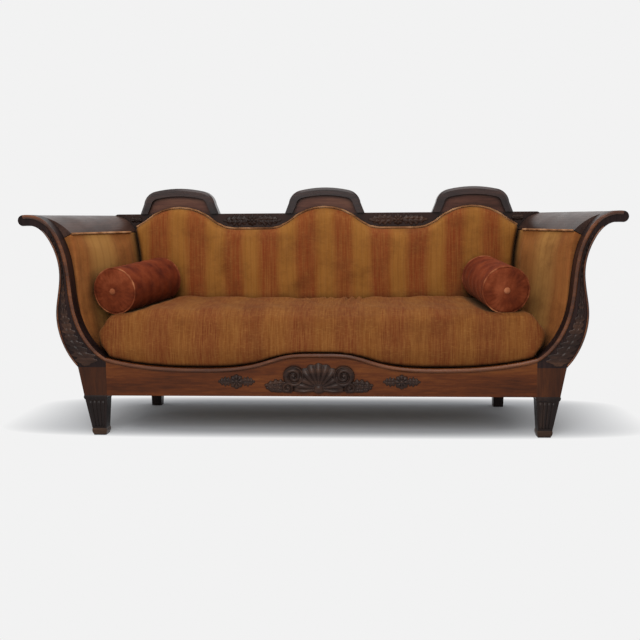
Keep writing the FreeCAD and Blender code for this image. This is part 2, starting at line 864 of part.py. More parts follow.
def back_webbing():
    """Straps in the open bays of the back frame, flush with its front."""
    thick, wide = size("web_thickness"), size("web_width")
    bottom = size("back_rail_bottom") + size("back_rail_height")
    top = CREST_BOTTOM
    level = (bottom + top - wide) / 2
    near, far = size("muntin_at") - size("muntin_width") / 2, size("muntin_at") + size("muntin_width") / 2
    solids = []
    for low, high in ((-STILE_INSIDE, -far), (-near, near), (far, STILE_INSIDE)):
        solids.append(Part.makeBox(high - low, thick, wide, Vector(low, size("back_setback"), level)))
        strap_x = (low + high - wide) / 2
        solids.append(Part.makeBox(wide, thick, top - bottom,
                                   Vector(strap_x, size("back_setback") + thick, bottom)))
    feature("back_webbing", Part.makeCompound(solids))


HUMPS = (-HUMP_SPACING, 0, HUMP_SPACING)


def cap_edges(centre, offset=0.0):
    """The arched line of a crest cap, set in by an offset, from its left foot to its right foot."""
    half, drop = size("cap_crown_half"), size("cap_crown_drop")
    top = size("overall_height")
    crown_radius = (half ** 2 + drop ** 2) / (2 * drop)
    turn = math.asin(half / crown_radius)
    start = at(half, top - drop)
    end = at(size("cap_shoulder_half"), top - size("cap_shoulder_drop"))
    inward = at(-math.sin(turn), -math.cos(turn))
    chord = end - start
    shoulder_radius = chord.Length ** 2 / (2 * chord.dot(inward))
    hub = start + inward * shoulder_radius
    first = math.atan2(start.y - hub.y, start.x - hub.x)
    last = math.atan2(end.y - hub.y, end.x - hub.x)

    def shoulder(angle, side):
        reach = shoulder_radius - offset
        return at(centre + side * (hub.x + reach * math.cos(angle)), hub.y + reach * math.sin(angle))

    def arc(side):
        ends = [shoulder(first, side), shoulder((first + last) / 2, side), shoulder(last, side)]
        return Part.Arc(*(ends if side == RIGHT else reversed(ends)))

    foot = size("cap_foot_half") - offset
    low = CREST_LOW
    crown = Part.Arc(shoulder(first, LEFT), at(centre, top - offset), shoulder(first, RIGHT))
    return [
        line(at(centre - foot, low), shoulder(last, LEFT)),
        arc(LEFT),
        crown,
        arc(RIGHT),
        line(shoulder(last, RIGHT), at(centre + foot, low)),
    ]


def crest_caps():
    """Three rolled mouldings along the arches of the crest rail."""
    thickness = size("cap_thickness")
    low, foot = CREST_LOW, size("cap_foot_half")
    edges, outlines = [], []
    for centre in HUMPS:
        outer, inner = cap_edges(centre), cap_edges(centre, thickness)
        feet = [line(at(centre + side * foot, low), at(centre + side * (foot - thickness), low))
                for side in (LEFT, RIGHT)]
        edges += outer + inner + feet
        outlines.append(outer)
    body = board("crest_caps", edges, "Sizes.back_setback - Sizes.cap_overhang",
                 "Sizes.back_frame_thickness + 2 * Sizes.cap_overhang")
    far = size("back_frame_thickness") + 2 * size("cap_overhang")
    rims = [front_edges(outer, depth) for outer in outlines for depth in (0, far)]

    def on_outer(edge):
        middle = Part.Vertex(edge.valueAt((edge.FirstParameter + edge.LastParameter) / 2))
        return any(middle.distToShape(rim)[0] < 1e-3 for rim in rims)

    bevel_edges(body, "Sizes.cap_round", on_outer)


def crest_rail():
    low, high, bottom = CREST_LOW, ARM_HEIGHT, CREST_BOTTOM
    right_side = roll_edges(size("roll_reach_rear"), ROLL_HEEL + RUN_IN, PAD_TOP + RUN_IN)
    tip, lower = right_side[1], right_side[2]
    heel = end_of(lower)
    stile = at(x_between(SHELL, bottom) - CORE_OUTSIDE - size("arm_convergence"), bottom)
    shoulder = at(start_of(tip).x - (low - high) * 2, low)
    right = [line(shoulder, start_of(tip)), tip, lower, line(heel, stile)]
    edges = right + mirrored(right, LEFT) + [line(stile, at(-stile.x, bottom))]
    last = at(-shoulder.x, low)
    for centre in HUMPS:
        arch = cap_edges(centre, size("cap_thickness"))
        edges.append(line(last, start_of(arch[0])))
        edges.extend(arch)
        last = end_of(arch[-1])
    edges.append(line(last, shoulder))
    board("crest_rail", edges, "Sizes.back_setback", "Sizes.back_frame_thickness")


def leaf_edges(centre_x, centre_z, reach, width):
    """A pointed leaf lying level, out of two arcs."""
    left, right = at(centre_x - reach, centre_z), at(centre_x + reach, centre_z)
    return [
        Part.Arc(left, at(centre_x, centre_z + width / 2), right),
        Part.Arc(right, at(centre_x, centre_z - width / 2), left),
    ]


def crest_leaves():
    """Carved leaves along the crest rail: one in each valley and one at each end."""
    valley = (CREST_LOW + ARCH_LOW + size("piping_width")) / 2
    end = CREST_LOW - size("crest_end_leaf_drop")
    edges = []
    for side in (LEFT, RIGHT):
        edges += leaf_edges(side * HUMP_SPACING / 2, valley,
                            HUMP_SPACING / 2 - size("crest_leaf_gap"), size("crest_leaf_width"))
        edges += leaf_edges(side * BACK_REACH, end,
                            size("crest_end_leaf_reach"), size("crest_end_leaf_width"))
    body = board("crest_leaves", edges, "Sizes.back_setback - Sizes.leaf_relief", "Sizes.leaf_relief")
    bevel_edges(body, "Sizes.leaf_relief / 2", lambda edge: lies_at(edge, 0))


def arch_height(x):
    """The arched top line of the back's upholstery, of two arcs on each side of every hump."""
    half_span, rise, crown = size("arch_half_span"), size("arch_rise"), size("arch_crown_radius")
    turn = 2 * math.atan(rise / half_span)
    hollow = half_span / math.sin(turn) - crown
    offset = min(abs(x), abs(abs(x) - HUMP_SPACING))
    if offset >= half_span:
        return ARCH_LOW
    if offset > crown * math.sin(turn):
        return ARCH_LOW + hollow - math.sqrt(hollow ** 2 - (half_span - offset) ** 2)
    return ARCH_LOW + rise - crown + math.sqrt(crown ** 2 - offset ** 2)


def arch_points(raise_by):
    """Points along the upholstery's top line, from left to right."""
    points = []
    for step in range(2 * ARCH_FLAT_COUNT + 1):
        x = BACK_REACH * (step / ARCH_FLAT_COUNT - 1)
        points.append(at(x, arch_height(x) + raise_by))
    return points


ARCH_FLAT_COUNT = 21
BACK_REACH = PAD_TOP.x - size("arm_convergence") - 2 * size("fit_gap")


def back_pad():
    """The stuffed back: its outline drawn in step by step towards its crowned front."""
    bottom, depth, roll = size("back_pad_bottom"), size("back_pad_depth"), size("back_pad_roll")
    inward = size("arm_convergence") + 2 * size("fit_gap")
    side_line = stretch(PAD_FACE, bottom, ARM_PAD_TOP, -inward)
    side_line[-1] = at(BACK_REACH, arch_height(BACK_REACH))
    wires = []
    for share, inset in ((0, 0), (0.42, 0), (0.80, 0.42), (0.95, 1.6), (1, 4)):
        draw = roll * inset
        top = [at(p.x * (BACK_REACH - draw) / BACK_REACH, p.y - draw * 0.8) for p in arch_points(0)]
        low, high = bottom + draw * 0.5, top[-1].y
        squeeze = (high - low) / (arch_height(BACK_REACH) - bottom)
        right = [at(p.x - draw, low + (p.y - bottom) * squeeze) for p in side_line[:-1]]
        left = [at(-p.x, p.y) for p in right]
        points = top + right[::-1] + left
        wires.append(front_edges(polyline(points + points[:1]), size("back_setback") - depth * share))
    feature("back_pad", Part.makeLoft(wires, True, True))


def back_piping():
    lower, upper = arch_points(size("fit_gap")), arch_points(size("piping_width"))
    edges = polyline(lower + upper[::-1] + lower[:1])
    board("back_piping", edges, "Sizes.back_setback - Sizes.piping_width", "Sizes.piping_width")


def outside_back():
    """The cloth across the back of the frame."""
    outer = back_side(CORE_OUTSIDE + COVER_SETBACK, size("block_height"), CREST_BOTTOM)
    low = size("rail_bottom") + size("back_rail_height")
    points = outer + mirrored_points(outer[::-1], LEFT)
    points += [at(-REAR_LEG_INSIDE, low), at(REAR_LEG_INSIDE, low)]
    board("outside_back", polyline(points + points[:1]), "Sizes.back_setback + Sizes.back_frame_thickness",
          "Sizes.cover_thickness")


# Loose upholstery
SQUAB_HALF_LENGTH = BLOCK_INSIDE + size("squab_end_reach")


def squab_section(reach, inset):
    """The squab cut through from front to back, on a plane that fans out with the arms."""
    front, back = size("squab_front") + inset, size("squab_back") - inset
    front_top, back_top = size("squab_front_height") - inset, size("squab_back_height") - inset
    bottom = size("rail_low") - size("bead_width") + inset
    roll = size("squab_roll")
    drawn = roll * 0.3
    lean = size("arm_convergence") / ARM_RUN * reach / SQUAB_HALF_LENGTH

    def place(depth, height):
        return Vector(reach - lean * (depth - size("squab_front")), depth, height)

    half_up = (bottom + front_top - roll) / 2
    mid_round = roll * (1 - math.sqrt(0.5))
    points = [
        place(front + drawn, bottom),
        place(front, half_up),
        place(front + drawn * 0.2, front_top - roll),
        place(front + mid_round * 0.5, front_top - roll * 0.55),
        place(front + mid_round * 1.4, front_top - mid_round * 0.6),
        place(front + roll, front_top),
        place(back - roll * 0.7, back_top),
        place(back - roll * 0.2, back_top - roll * 0.2),
        place(back, back_top - roll * 0.7),
        place(back - drawn * 0.5, bottom),
    ]
    return Part.makePolygon(points + points[:1])


def bolster_axis(side):
    """The front end of a bolster's centre line and the way it points, from the front plane."""
    name = "left" if side == LEFT else "right"
    radius, sink = size("bolster_radius"), size("bolster_sink")
    front = size("squab_front") + size("squab_roll")
    back = size("squab_back") - 0.7 * size("squab_roll")
    slope = (size("squab_back_height") - size("squab_front_height")) / (back - front)
    near = size("bolster_front_depth")
    run = size("bolster_length")
    tilt = math.atan(slope)
    rise = (radius - sink) / math.cos(tilt)

    def surface(depth):
        return size("squab_front_height") + slope * (depth - front)

    start = Vector(side * (BLOCK_INSIDE - size(f"{name}_bolster_front_inset")), near, surface(near) + rise)
    rear_x = side * (BLOCK_INSIDE - size(f"{name}_bolster_rear_inset"))
    end = Vector(rear_x, near + run, surface(near + run) + rise)
    return start, (end - start).normalize()


def bolster_profile(radius):
    """Half of a bolster's section: ends drawn in to the button, a turned edge, a straight barrel."""
    length, crown, edge = size("bolster_length"), size("bolster_crown"), size("bolster_edge_round")
    flat = size("button_radius") * 1.5
    near = [at(0, 0), at(flat, 0), at(radius - edge, crown), at(radius, crown + edge)]
    far = [at(point.x, length - point.y) for point in reversed(near)]
    return polyline(near + far + near[:1])


def bolster_solid(radius):
    face = Part.Face(Part.Wire([edge.toShape() for edge in bolster_profile(radius)]))
    return face.revolve(Vector(0, 0, 0), Vector(0, 1, 0), 360)


def bolster_placement(side, back=0.0):
    """Where a thing that lies along the bolster goes, counted from the origin."""
    start, way = bolster_axis(side)
    return Placement(start - Vector(0, back, 0), Rotation(Vector(0, 1, 0), way))


def seat_void():
    """All that lies below the rail's edge and outside the facings, which the squab keeps clear of."""
    upper = rail_top(size("fit_gap"))
    right, left = end_of(upper), start_of(upper)
    wall = [right] + parallel(INSIDE, size("bead_round"))[1:6]
    reach = 2 * HALF_WIDTH
    top = wall[-1].y
    outside = [at(reach, top), at(reach, 0), at(-reach, 0), at(-reach, top)]
    edges = [upper] + polyline(wall + outside + mirrored_points(wall[::-1], LEFT))
    return front_prism(edges, -size("back_setback"), 2 * size("back_setback"))


def squab():
    """The loose squab, cut to the seat below it and dented by the bolsters."""
    half = SQUAB_HALF_LENGTH
    roll = size("squab_roll")
    ends = ((0, 1.15), (0.12, 0.55), (0.45, 0.16), (1.0, 0.02), (1.9, 0))
    reaches = [(half - roll * step, roll * inset) for step, inset in ends]
    right = [(reach, inset) for reach, inset in reversed(reaches)]
    stations = [(-reach, inset) for reach, inset in reaches] + [(0, 0)] + right
    shape = Part.makeLoft([squab_section(reach, inset) for reach, inset in stations], True, True)
    shape = shape.cut(seat_void())
    for side in (LEFT, RIGHT):
        dent = bolster_solid(size("bolster_radius") + size("fit_gap"))
        dent.Placement = bolster_placement(side)
        shape = shape.cut(dent)
    feature("seat_squab", shape.Solids[0])


def bolster(name, side):
    body = doc.addObject("PartDesign::Body", f"{name}_bolster")
    body.Label = f"{name}_bolster"
    turn = body.newObject("PartDesign::Revolution", f"{name}_bolster_turn")
    turn.Profile = sketch_on(body, ROLE_FLOOR, bolster_profile(size("bolster_radius")))
    turn.ReferenceAxis = (turn.Profile[0], ["V_Axis"])
    turn.Angle = 360
    body.Tip = turn
    body.Placement = bolster_placement(side, MIDDLE)


def bolster_buttons(name, side):
    """A covered button in the middle of each end of a bolster."""
    radius, height = size("button_radius"), size("button_height")
    place = bolster_placement(side)
    solids = []
    for depth, turn in ((0, 90), (size("bolster_length"), -90)):
        button = Part.makeCone(radius, radius * 0.5, height)
        button.Placement = place.multiply(Placement(Vector(0, depth, 0), Rotation(Vector(1, 0, 0), turn)))
        solids.append(button)
    feature(f"{name}_bolster_buttons", Part.makeCompound(solids))


# Carving on the front rail
def kite_edges(root, angle, reach, half_width):
    """A pointed petal from its root, widest three quarters of the way out."""
    way = at(math.cos(angle), math.sin(angle))
    across = at(-way.y, way.x) * half_width
    shoulder = root + way * (reach * 0.75)
    start = root + way * (reach * 0.15)
    return polyline([start, shoulder - across, root + way * reach, shoulder + across, start])


def centre_carving():
    """A scallop shell between two volutes, on a backing that follows the rail's arch."""
    relief = size("carving_relief")
    foot = size("shell_foot_height")
    radius, rib = size("shell_radius"), size("shell_rib_radius")
    plate = relief * 0.35
    shape = front_prism([Part.Arc(at(-radius, foot), at(0, foot + radius), at(radius, foot)),
                         line(at(radius, foot), at(-radius, foot))], -plate, 0)
    ribs = 9
    for number in range(ribs):
        angle = math.radians(12 + 156 * number / (ribs - 1))
        shape = shape.fuse(front_prism(kite_edges(at(0, foot), angle, radius, rib), -relief * 0.8, 0))
    for side in (LEFT, RIGHT):
        centre = Vector(side * size("volute_at"), 0, size("volute_height"))
        wide = size("volute_radius")
        for share, height in ((1, plate), (0.8, relief * 0.7), (0.34, relief)):
            shape = shape.fuse(Part.makeCylinder(wide * share, height, centre, Vector(0, -1, 0)))
    reach = size("volute_at") + size("volute_radius")
    room = Part.makeBox(2 * reach, relief, ARM_HEIGHT, Vector(-reach, -relief, 0))
    bead = deck_prism(0, -size("bead_width") - size("fit_gap"), -relief, 0, reach)
    feature("centre_carving", shape.common(room).common(bead).removeSplitter().Solids[0])


def rosette(name, side):
    """A round patera with eight petals and a leaf to each side."""
    body = new_body(f"{name}_rosette", "0")
    radius, relief = size("rosette_radius"), size("rosette_relief")
    centre = at(side * size("rosette_at"), size("rosette_height"))
    disc = body.newObject("PartDesign::Pad", f"{name}_rosette_disc")
    disc.Profile = sketch_on(body, ROLE_FRONT, [Part.Circle(centre, Vector(0, 0, 1), radius)])
    disc.setExpression("Length", "Sizes.rosette_relief * 0.45")
    petal = body.newObject("PartDesign::Pad", f"{name}_rosette_petal")
    petal.Profile = sketch_on(body, ROLE_FRONT, kite_edges(centre, 0, radius * 1.1, radius * 0.3))
    petal.setExpression("Length", "Sizes.rosette_relief")
    doc.recompute()
    ring = body.newObject("PartDesign::PolarPattern", f"{name}_rosette_ring")
    ring.Originals = [petal]
    axis = body.newObject("Sketcher::SketchObject", f"{name}_rosette_axis")
    axis.AttachmentSupport = [(plane(body, ROLE_FRONT), "")]
    axis.MapMode = "FlatFace"
    axis.AttachmentOffset = Placement(centre, Rotation())
    ring.Axis = (axis, ["N_Axis"])
    ring.Angle = 360
    ring.Occurrences = 8
    body.Tip = ring
    spray = body.newObject("PartDesign::Pad", f"{name}_rosette_spray")
    reach = size("spray_reach")
    spray.Profile = sketch_on(body, ROLE_FRONT, leaf_edges(centre.x, centre.y, reach, size("spray_width")))
    spray.setExpression("Length", "Sizes.rosette_relief * 0.3")
    body.Tip = spray


def build():
    front_rail()
    front_rail_bead()
    rear_rail()
    braces()
    corner_blocks()
    webbing()
    hessian()
    deck()
    for name, side in SIDES:
        front_leg(name, side)
        rear_leg(name, side)
        side_rail(name, side)
        arm_facing(name, side)
        arm_roll(name, side)
        arm_core(name, side)
        outside_arm(name, side)
        arm_pad(name, side)
        back_stile(name, side)
        bolster(name, side)
        bolster_buttons(name, side)
        rosette(name, side)
    arm_beads()
    knee_leaves()
    crest_caps()
    crest_leaves()
    crest_rail()
    back_bottom_rail()
    back_muntins()
    back_webbing()
    back_pad()
    back_piping()
    outside_back()
    centre_carving()
    squab()


build()
doc.recompute()

NODE_TYPES = ("PartDesign::Body", "Part::Feature", "Part::Box")
pieces = [
    piece for piece in doc.Objects
    if piece.TypeId in NODE_TYPES and piece.getParentGeoFeatureGroup() is None
]
for item in doc.Objects:
    if "Invalid" in item.State or "Error" in item.State:
        raise RuntimeError(f"{item.Label} failed: {item.State}")
for piece in pieces:
    if piece.Shape.isNull() or not piece.Shape.isValid() or piece.Shape.Volume <= 0:
        raise RuntimeError(f"{piece.Label} has no valid solid")
for piece in pieces:
    piece.Shape.exportStep(os.path.join("parts", f"{piece.Label}.step"))
print(f"{len(pieces)} pieces written")
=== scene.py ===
"""A three-arched settee with scrolled arms: its looks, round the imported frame.

Metres, +Z up, the front faces -Y. Places are read from the frame's solids or given in its coordinates.
"""
import math

import bmesh
import bpy
import numpy as np
from mathutils import Matrix, Vector
from mathutils.kdtree import KDTree

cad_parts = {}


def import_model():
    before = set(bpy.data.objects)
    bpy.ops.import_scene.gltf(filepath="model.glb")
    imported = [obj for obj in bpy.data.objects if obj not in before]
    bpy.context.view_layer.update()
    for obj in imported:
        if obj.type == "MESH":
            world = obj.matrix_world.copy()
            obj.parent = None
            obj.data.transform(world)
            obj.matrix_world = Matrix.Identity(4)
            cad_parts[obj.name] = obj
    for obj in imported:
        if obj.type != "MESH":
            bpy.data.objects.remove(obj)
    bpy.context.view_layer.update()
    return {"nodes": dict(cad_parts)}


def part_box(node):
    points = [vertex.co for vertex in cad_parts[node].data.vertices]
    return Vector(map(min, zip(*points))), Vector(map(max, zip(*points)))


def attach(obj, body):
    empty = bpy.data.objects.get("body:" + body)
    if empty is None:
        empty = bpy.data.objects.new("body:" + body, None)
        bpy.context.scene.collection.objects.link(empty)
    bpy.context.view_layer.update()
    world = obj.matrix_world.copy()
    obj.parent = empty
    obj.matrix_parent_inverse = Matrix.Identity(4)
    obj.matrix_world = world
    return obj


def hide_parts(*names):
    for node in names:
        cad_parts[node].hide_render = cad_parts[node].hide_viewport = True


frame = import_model()
NODES = frame["nodes"]
MM = 0.001
SIDES = (("left", -1), ("right", 1))


# Node materials, kept by their names
looks = {}


class Material:
    """A node material that is built up one node at a time."""

    def __init__(self, name):
        self.made = bpy.data.materials.new(name)
        self.made.use_nodes = True
        self.tree = self.made.node_tree
        self.shader = self.tree.nodes["Principled BSDF"]
        place = self.add("ShaderNodeTexCoord")
        self.place = place.outputs["Object"]

    def add(self, kind, inputs=None, **settings):
        """A new node, with settings as attributes and inputs as numbers or as sockets to link."""
        node = self.tree.nodes.new(kind)
        for key, value in settings.items():
            setattr(node, key, value)
        for key, value in (inputs or {}).items():
            self.set(node.inputs[key], value)
        return node

    def set(self, socket, value):
        """Give an input socket a number, or link another socket to it."""
        if isinstance(value, bpy.types.NodeSocket):
            self.tree.links.new(value, socket)
        else:
            socket.default_value = value

    def look(self, **inputs):
        """Inputs of the surface shader, with spaces written as underscores."""
        for key, value in inputs.items():
            self.set(self.shader.inputs[key.replace("_", " ")], value)

    def stretched(self, scale):
        """The object's own coordinates, scaled along each axis."""
        return self.add("ShaderNodeMapping", {"Vector": self.place, "Scale": scale}).outputs[0]

    def noise(self, vector, scale, detail=3.0, rough=0.55):
        """A cloudy value from 0 to 1."""
        node = self.add("ShaderNodeTexNoise",
                        {"Vector": vector, "Scale": scale, "Detail": detail, "Roughness": rough})
        return node.outputs["Fac"]

    def math(self, operation, first, second=0.0, clamp=False):
        """One operation on one or two values."""
        node = self.add("ShaderNodeMath", operation=operation, use_clamp=clamp)
        self.set(node.inputs[0], first)
        self.set(node.inputs[1], second)
        return node.outputs[0]

    def span(self, value, low, high, to_low=0.0, to_high=1.0):
        """A value spread from one range to another."""
        node = self.add("ShaderNodeMapRange", {"Value": value, "From Min": low, "From Max": high,
                                               "To Min": to_low, "To Max": to_high}, clamp=True)
        return node.outputs[0]

    def mix(self, share, first, second):
        """From the first colour to the second."""
        node = self.add("ShaderNodeMix", data_type="RGBA")
        for number, value in ((0, share), (6, first), (7, second)):
            self.set(node.inputs[number], value)
        return node.outputs[2]

    def hollow(self, reach):
        """How open a place is within a reach, from 0 in a corner to 1."""
        return self.add("ShaderNodeAmbientOcclusion", {"Distance": reach}, samples=8).outputs["AO"]

    def ramp(self, share, deep, middle, light):
        """Three colours along a value, at 0, 0.5 and 1."""
        node = self.add("ShaderNodeValToRGB", {"Fac": share})
        points = node.color_ramp.elements
        points[0].color = deep
        points[1].color = light
        points.new(0.5).color = middle
        return node.outputs[0]

    def bump(self, height, strength, distance):
        """Fine relief from a height value."""
        node = self.add("ShaderNodeBump", {"Height": height, "Strength": strength, "Distance": distance})
        self.set(self.shader.inputs["Normal"], node.outputs[0])

    def axis(self, name):
        """One of the object's own coordinates."""
        return self.add("ShaderNodeSeparateXYZ", {"Vector": self.place}).outputs[name]


def tone(red, green, blue):
    """A colour written as 0 to 255, as the shader takes it."""
    linear = []
    for value in (red, green, blue):
        share = value / 255
        linear.append(((share + 0.055) / 1.055) ** 2.4 if value > 10 else share / 12.92)
    return (*linear, 1)


# painted shade: the near black that the wood is darkened towards in its corners and hollows
HOLLOW_SHADE = tone(16, 10, 9)
# painted shade: the dark brown that the cloth is darkened towards in its creases and crevices
CREASE_SHADE = tone(34, 15, 8)
SHADE = tone(84, 42, 18)
BUFF = tone(160, 112, 58)
THREADS_PER_METRE = 6.3  # of a wave texture whose scale is 1


def wood(name, grain, deep, middle, light, rough=0.38, coat=0.1, hollow=0.0, gloss=0.1, below=None):
    """Polished timber whose grain runs along one axis: figure, fine streaks, pores and rubbed patches.

    hollow is the reach of the painted shade that darkens corners and hollows; below is a level, its
    softness and the colour under it.
    """
    made = Material(name)
    along = {"X": (0.9, 9, 9), "Y": (9, 0.9, 9), "Z": (9, 9, 0.9)}[grain]
    figure = made.noise(made.stretched(along), 1.3, 5, 0.6)
    streak = made.noise(made.stretched(tuple(value * 9 for value in along)), 1.6, 4, 0.65)
    mixed = made.math("ADD", made.math("MULTIPLY", figure, 0.68), made.math("MULTIPLY", streak, 0.32))
    colour = made.ramp(made.span(mixed, 0.34, 0.66), deep, middle, light)
    pores = made.noise(made.stretched(tuple(value * 40 for value in along)), 2.2, 2)
    colour = made.mix(made.span(pores, 0.60, 0.72, 0.0, 0.45), colour, deep)
    rubbed = made.noise(made.stretched((1, 1, 1)), 7.0, 4)
    if below:
        level, reach, dark = below
        lower = made.span(made.axis("Z"), level - reach, level + reach, 1.0, 0.0)
        colour = made.mix(lower, colour, dark)
    # painted shade: an ambient occlusion node darkens the wood in corners and hollows, such as under the
    # crest caps
    if hollow:
        colour = made.mix(made.span(made.hollow(hollow), 0.35, 0.95), HOLLOW_SHADE, colour)
    made.look(Base_Color=colour, Roughness=made.span(rubbed, 0.3, 0.7, rough - 0.09, rough + 0.12))
    made.look(Coat_Weight=coat, Coat_Roughness=0.2, Specular_IOR_Level=gloss)
    made.bump(made.math("ADD", streak, made.math("MULTIPLY", pores, 0.5)), 0.12, 0.4 * MM)
    looks[name] = made.made


def weave(made, pitch):
    """The height of a plain weave whose threads have a pitch."""
    heights = []
    for direction in ("X", "Z"):
        settings = {"Vector": made.place, "Scale": 1 / pitch / THREADS_PER_METRE, "Distortion": 0.6,
                    "Detail": 1.0, "Detail Scale": 2.0}
        wave = made.add("ShaderNodeTexWave", settings, bands_direction=direction)
        heights.append(wave.outputs["Fac"])
    return made.math("MULTIPLY", *heights)


def striped_cloth(name, axis, period, first, streak_scale, gold, rust, fade=0.0):
    """Worn cloth with soft-edged stripes across an axis: gold ones every period from first, rust between.

    fade is the share by which both colours are drawn to their mean.
    """
    made = Material(name)
    across = made.axis(axis)
    drift = made.math("MULTIPLY", made.math("SUBTRACT", made.noise(made.place, 3.0, 2), 0.5), 0.05)
    from_first = made.math("SUBTRACT", made.math("ADD", across, drift), first)
    turn = made.math("MULTIPLY", from_first, 2 * math.pi / period)
    stripe = made.span(made.math("COSINE", turn), -0.55, 0.75)
    patchy = made.noise(made.stretched((1, 1, 0.35)), 6.0, 3)
    uneven_wear = made.math("MULTIPLY", made.math("SUBTRACT", patchy, 0.5), 0.9)
    stripe = made.math("ADD", stripe, uneven_wear, clamp=True)
    colour = made.mix(stripe, rust, gold)
    if fade:
        colour = made.mix(fade, colour, made.mix(0.5, rust, gold))
    pins = made.math("COSINE", made.math("MULTIPLY", turn, 7.0))
    colour = made.mix(made.span(pins, 0.5, 1.0, 0.0, 0.16), colour, SHADE)
    threads = made.noise(made.stretched(streak_scale), 1.0, 3, 0.7)
    colour = made.mix(made.span(threads, 0.35, 0.75, 0.0, 0.45), colour, BUFF)
    worn = made.noise(made.stretched((1, 1, 1.4)), 5.5, 6, 0.68)
    colour = made.mix(made.span(worn, 0.48, 0.70, 0.0, 0.5), colour, SHADE)
    slubs = made.noise(made.stretched((60, 60, 260)), 1.0, 2, 0.7)
    colour = made.mix(made.span(slubs, 0.52, 0.78, 0.0, 0.3), colour, BUFF)
    # painted shade: an ambient occlusion node darkens the cloth in creases and crevices, such as where the
    # seat meets the back
    colour = made.mix(made.span(made.hollow(0.07), 0.15, 0.72), CREASE_SHADE, colour)
    cloth = weave(made, 1.5 * MM)
    made.look(Base_Color=colour, Roughness=0.8, Specular_IOR_Level=0.1)
    made.look(Sheen_Weight=0.08, Sheen_Roughness=0.4, Sheen_Tint=tone(235, 200, 150))
    made.bump(made.math("ADD", cloth, made.math("MULTIPLY", threads, 1.5)), 0.35, 0.35 * MM)
    looks[name] = made.made


def velvet(name, middle, deep, light):
    """Short cut pile with rubbed and crushed patches."""
    made = Material(name)
    crushed = made.noise(made.place, 14.0, 5, 0.6)
    pile = made.noise(made.place, 900.0, 2)
    colour = made.ramp(made.span(crushed, 0.32, 0.7), deep, middle, light)
    colour = made.mix(made.span(pile, 0.4, 0.7, 0.0, 0.3), colour, deep)
    made.look(Base_Color=colour, Roughness=0.85, Specular_IOR_Level=0.08)
    made.look(Sheen_Weight=0.14, Sheen_Roughness=0.35, Sheen_Tint=tone(235, 150, 110))
    made.bump(made.math("ADD", made.math("MULTIPLY", pile, 0.5), crushed), 0.3, 0.6 * MM)
    looks[name] = made.made


def plain_cloth(name, light, dark, pitch, coarse=1.0):
    """A plain woven cloth with uneven threads."""
    made = Material(name)
    slubs = made.noise(made.stretched((160, 160, 20)), 1.0, 3, 0.7)
    dust = made.noise(made.place, 9.0, 4)
    colour = made.mix(made.span(slubs, 0.3, 0.7), dark, light)
    colour = made.mix(made.span(dust, 0.5, 0.75, 0.0, 0.4), colour, dark)
    made.look(Base_Color=colour, Roughness=0.9, Specular_IOR_Level=0.2)
    made.bump(made.math("ADD", weave(made, pitch), slubs), 0.4, 0.5 * MM * coarse)
    looks[name] = made.made


MAHOGANY = (tone(50, 23, 10), tone(88, 43, 17), tone(118, 66, 28))
BLOCK = (tone(40, 20, 11), tone(66, 34, 17), tone(94, 52, 26))
DARK = (tone(20, 13, 13), tone(38, 26, 25), tone(66, 44, 38))
BLACKENED = (tone(18, 13, 12), tone(32, 23, 21), tone(58, 42, 34))
CARVED = (tone(20, 13, 11), tone(44, 28, 22), tone(78, 52, 38))
WORN_TOE = (tone(40, 27, 20), tone(66, 47, 35), tone(96, 72, 54))
ROLL = (tone(36, 22, 18), tone(56, 38, 32), tone(76, 54, 46))
CREST = (tone(46, 27, 20), tone(86, 54, 44), tone(112, 76, 60))
BEAD = (tone(44, 22, 11), tone(80, 42, 20), tone(120, 70, 38))
PINE = (tone(120, 84, 48), tone(170, 126, 78), tone(196, 156, 104))
BACK_STRIPES = (tone(140, 90, 37), tone(118, 52, 22))
SEAT_STRIPES = (tone(112, 63, 25), tone(100, 45, 19))
ARM_STRIPES = (tone(168, 122, 66), tone(136, 80, 40))
BACK_PERIOD = 0.158
SEAT_PERIOD = 0.179
ARM_PERIOD = 0.36

wood("rail_wood", "X", *MAHOGANY, hollow=0.02)
wood("block_wood", "Z", *BLOCK, below=(0.150, 0.006, BLACKENED[1]))
wood("frame_wood", "Z", *BLOCK)
wood("foot_wood", "Z", *BLACKENED)
wood("toe_wood", "X", *WORN_TOE, rough=0.34, coat=0.1)
wood("facing_wood", "Z", *DARK, rough=0.40, coat=0.04, gloss=0.08, hollow=0.02)
wood("roll_wood", "Y", *ROLL, rough=0.34, coat=0.07, gloss=0.16)
wood("cap_wood", "X", *DARK, rough=0.30, coat=0.22, gloss=0.2)
wood("crest_wood", "X", *CREST, hollow=0.03, below=(0.846, 0.004, tone(44, 27, 22)))
wood("carved_wood", "X", *CARVED, rough=0.36, coat=0.06, hollow=0.014, gloss=0.14)
wood("bead_wood", "X", *BEAD, rough=0.28, coat=0.25, gloss=0.25)
wood("pine", "X", *PINE, rough=0.7, coat=0.0)
striped_cloth("back_cloth", "X", BACK_PERIOD, 0.0, (230, 40, 5), *BACK_STRIPES)
striped_cloth("seat_cloth", "X", SEAT_PERIOD, -0.700, (230, 12, 12), *SEAT_STRIPES, fade=0.15)
striped_cloth("arm_cloth", "Y", ARM_PERIOD, -0.06, (40, 230, 5), *ARM_STRIPES)
velvet("velvet", tone(104, 42, 20), tone(74, 26, 13), tone(126, 58, 30))
velvet("velvet_end", tone(108, 48, 25), tone(76, 30, 16), tone(138, 70, 42))
velvet("cord", tone(124, 62, 36), tone(76, 32, 18), tone(186, 122, 84))
velvet("button", tone(156, 92, 60), tone(112, 58, 34), tone(186, 128, 92))
velvet("gimp", tone(166, 118, 80), tone(84, 50, 32), tone(208, 164, 124))
plain_cloth("outer_cloth", tone(112, 68, 34), tone(76, 42, 20), 1.6 * MM)
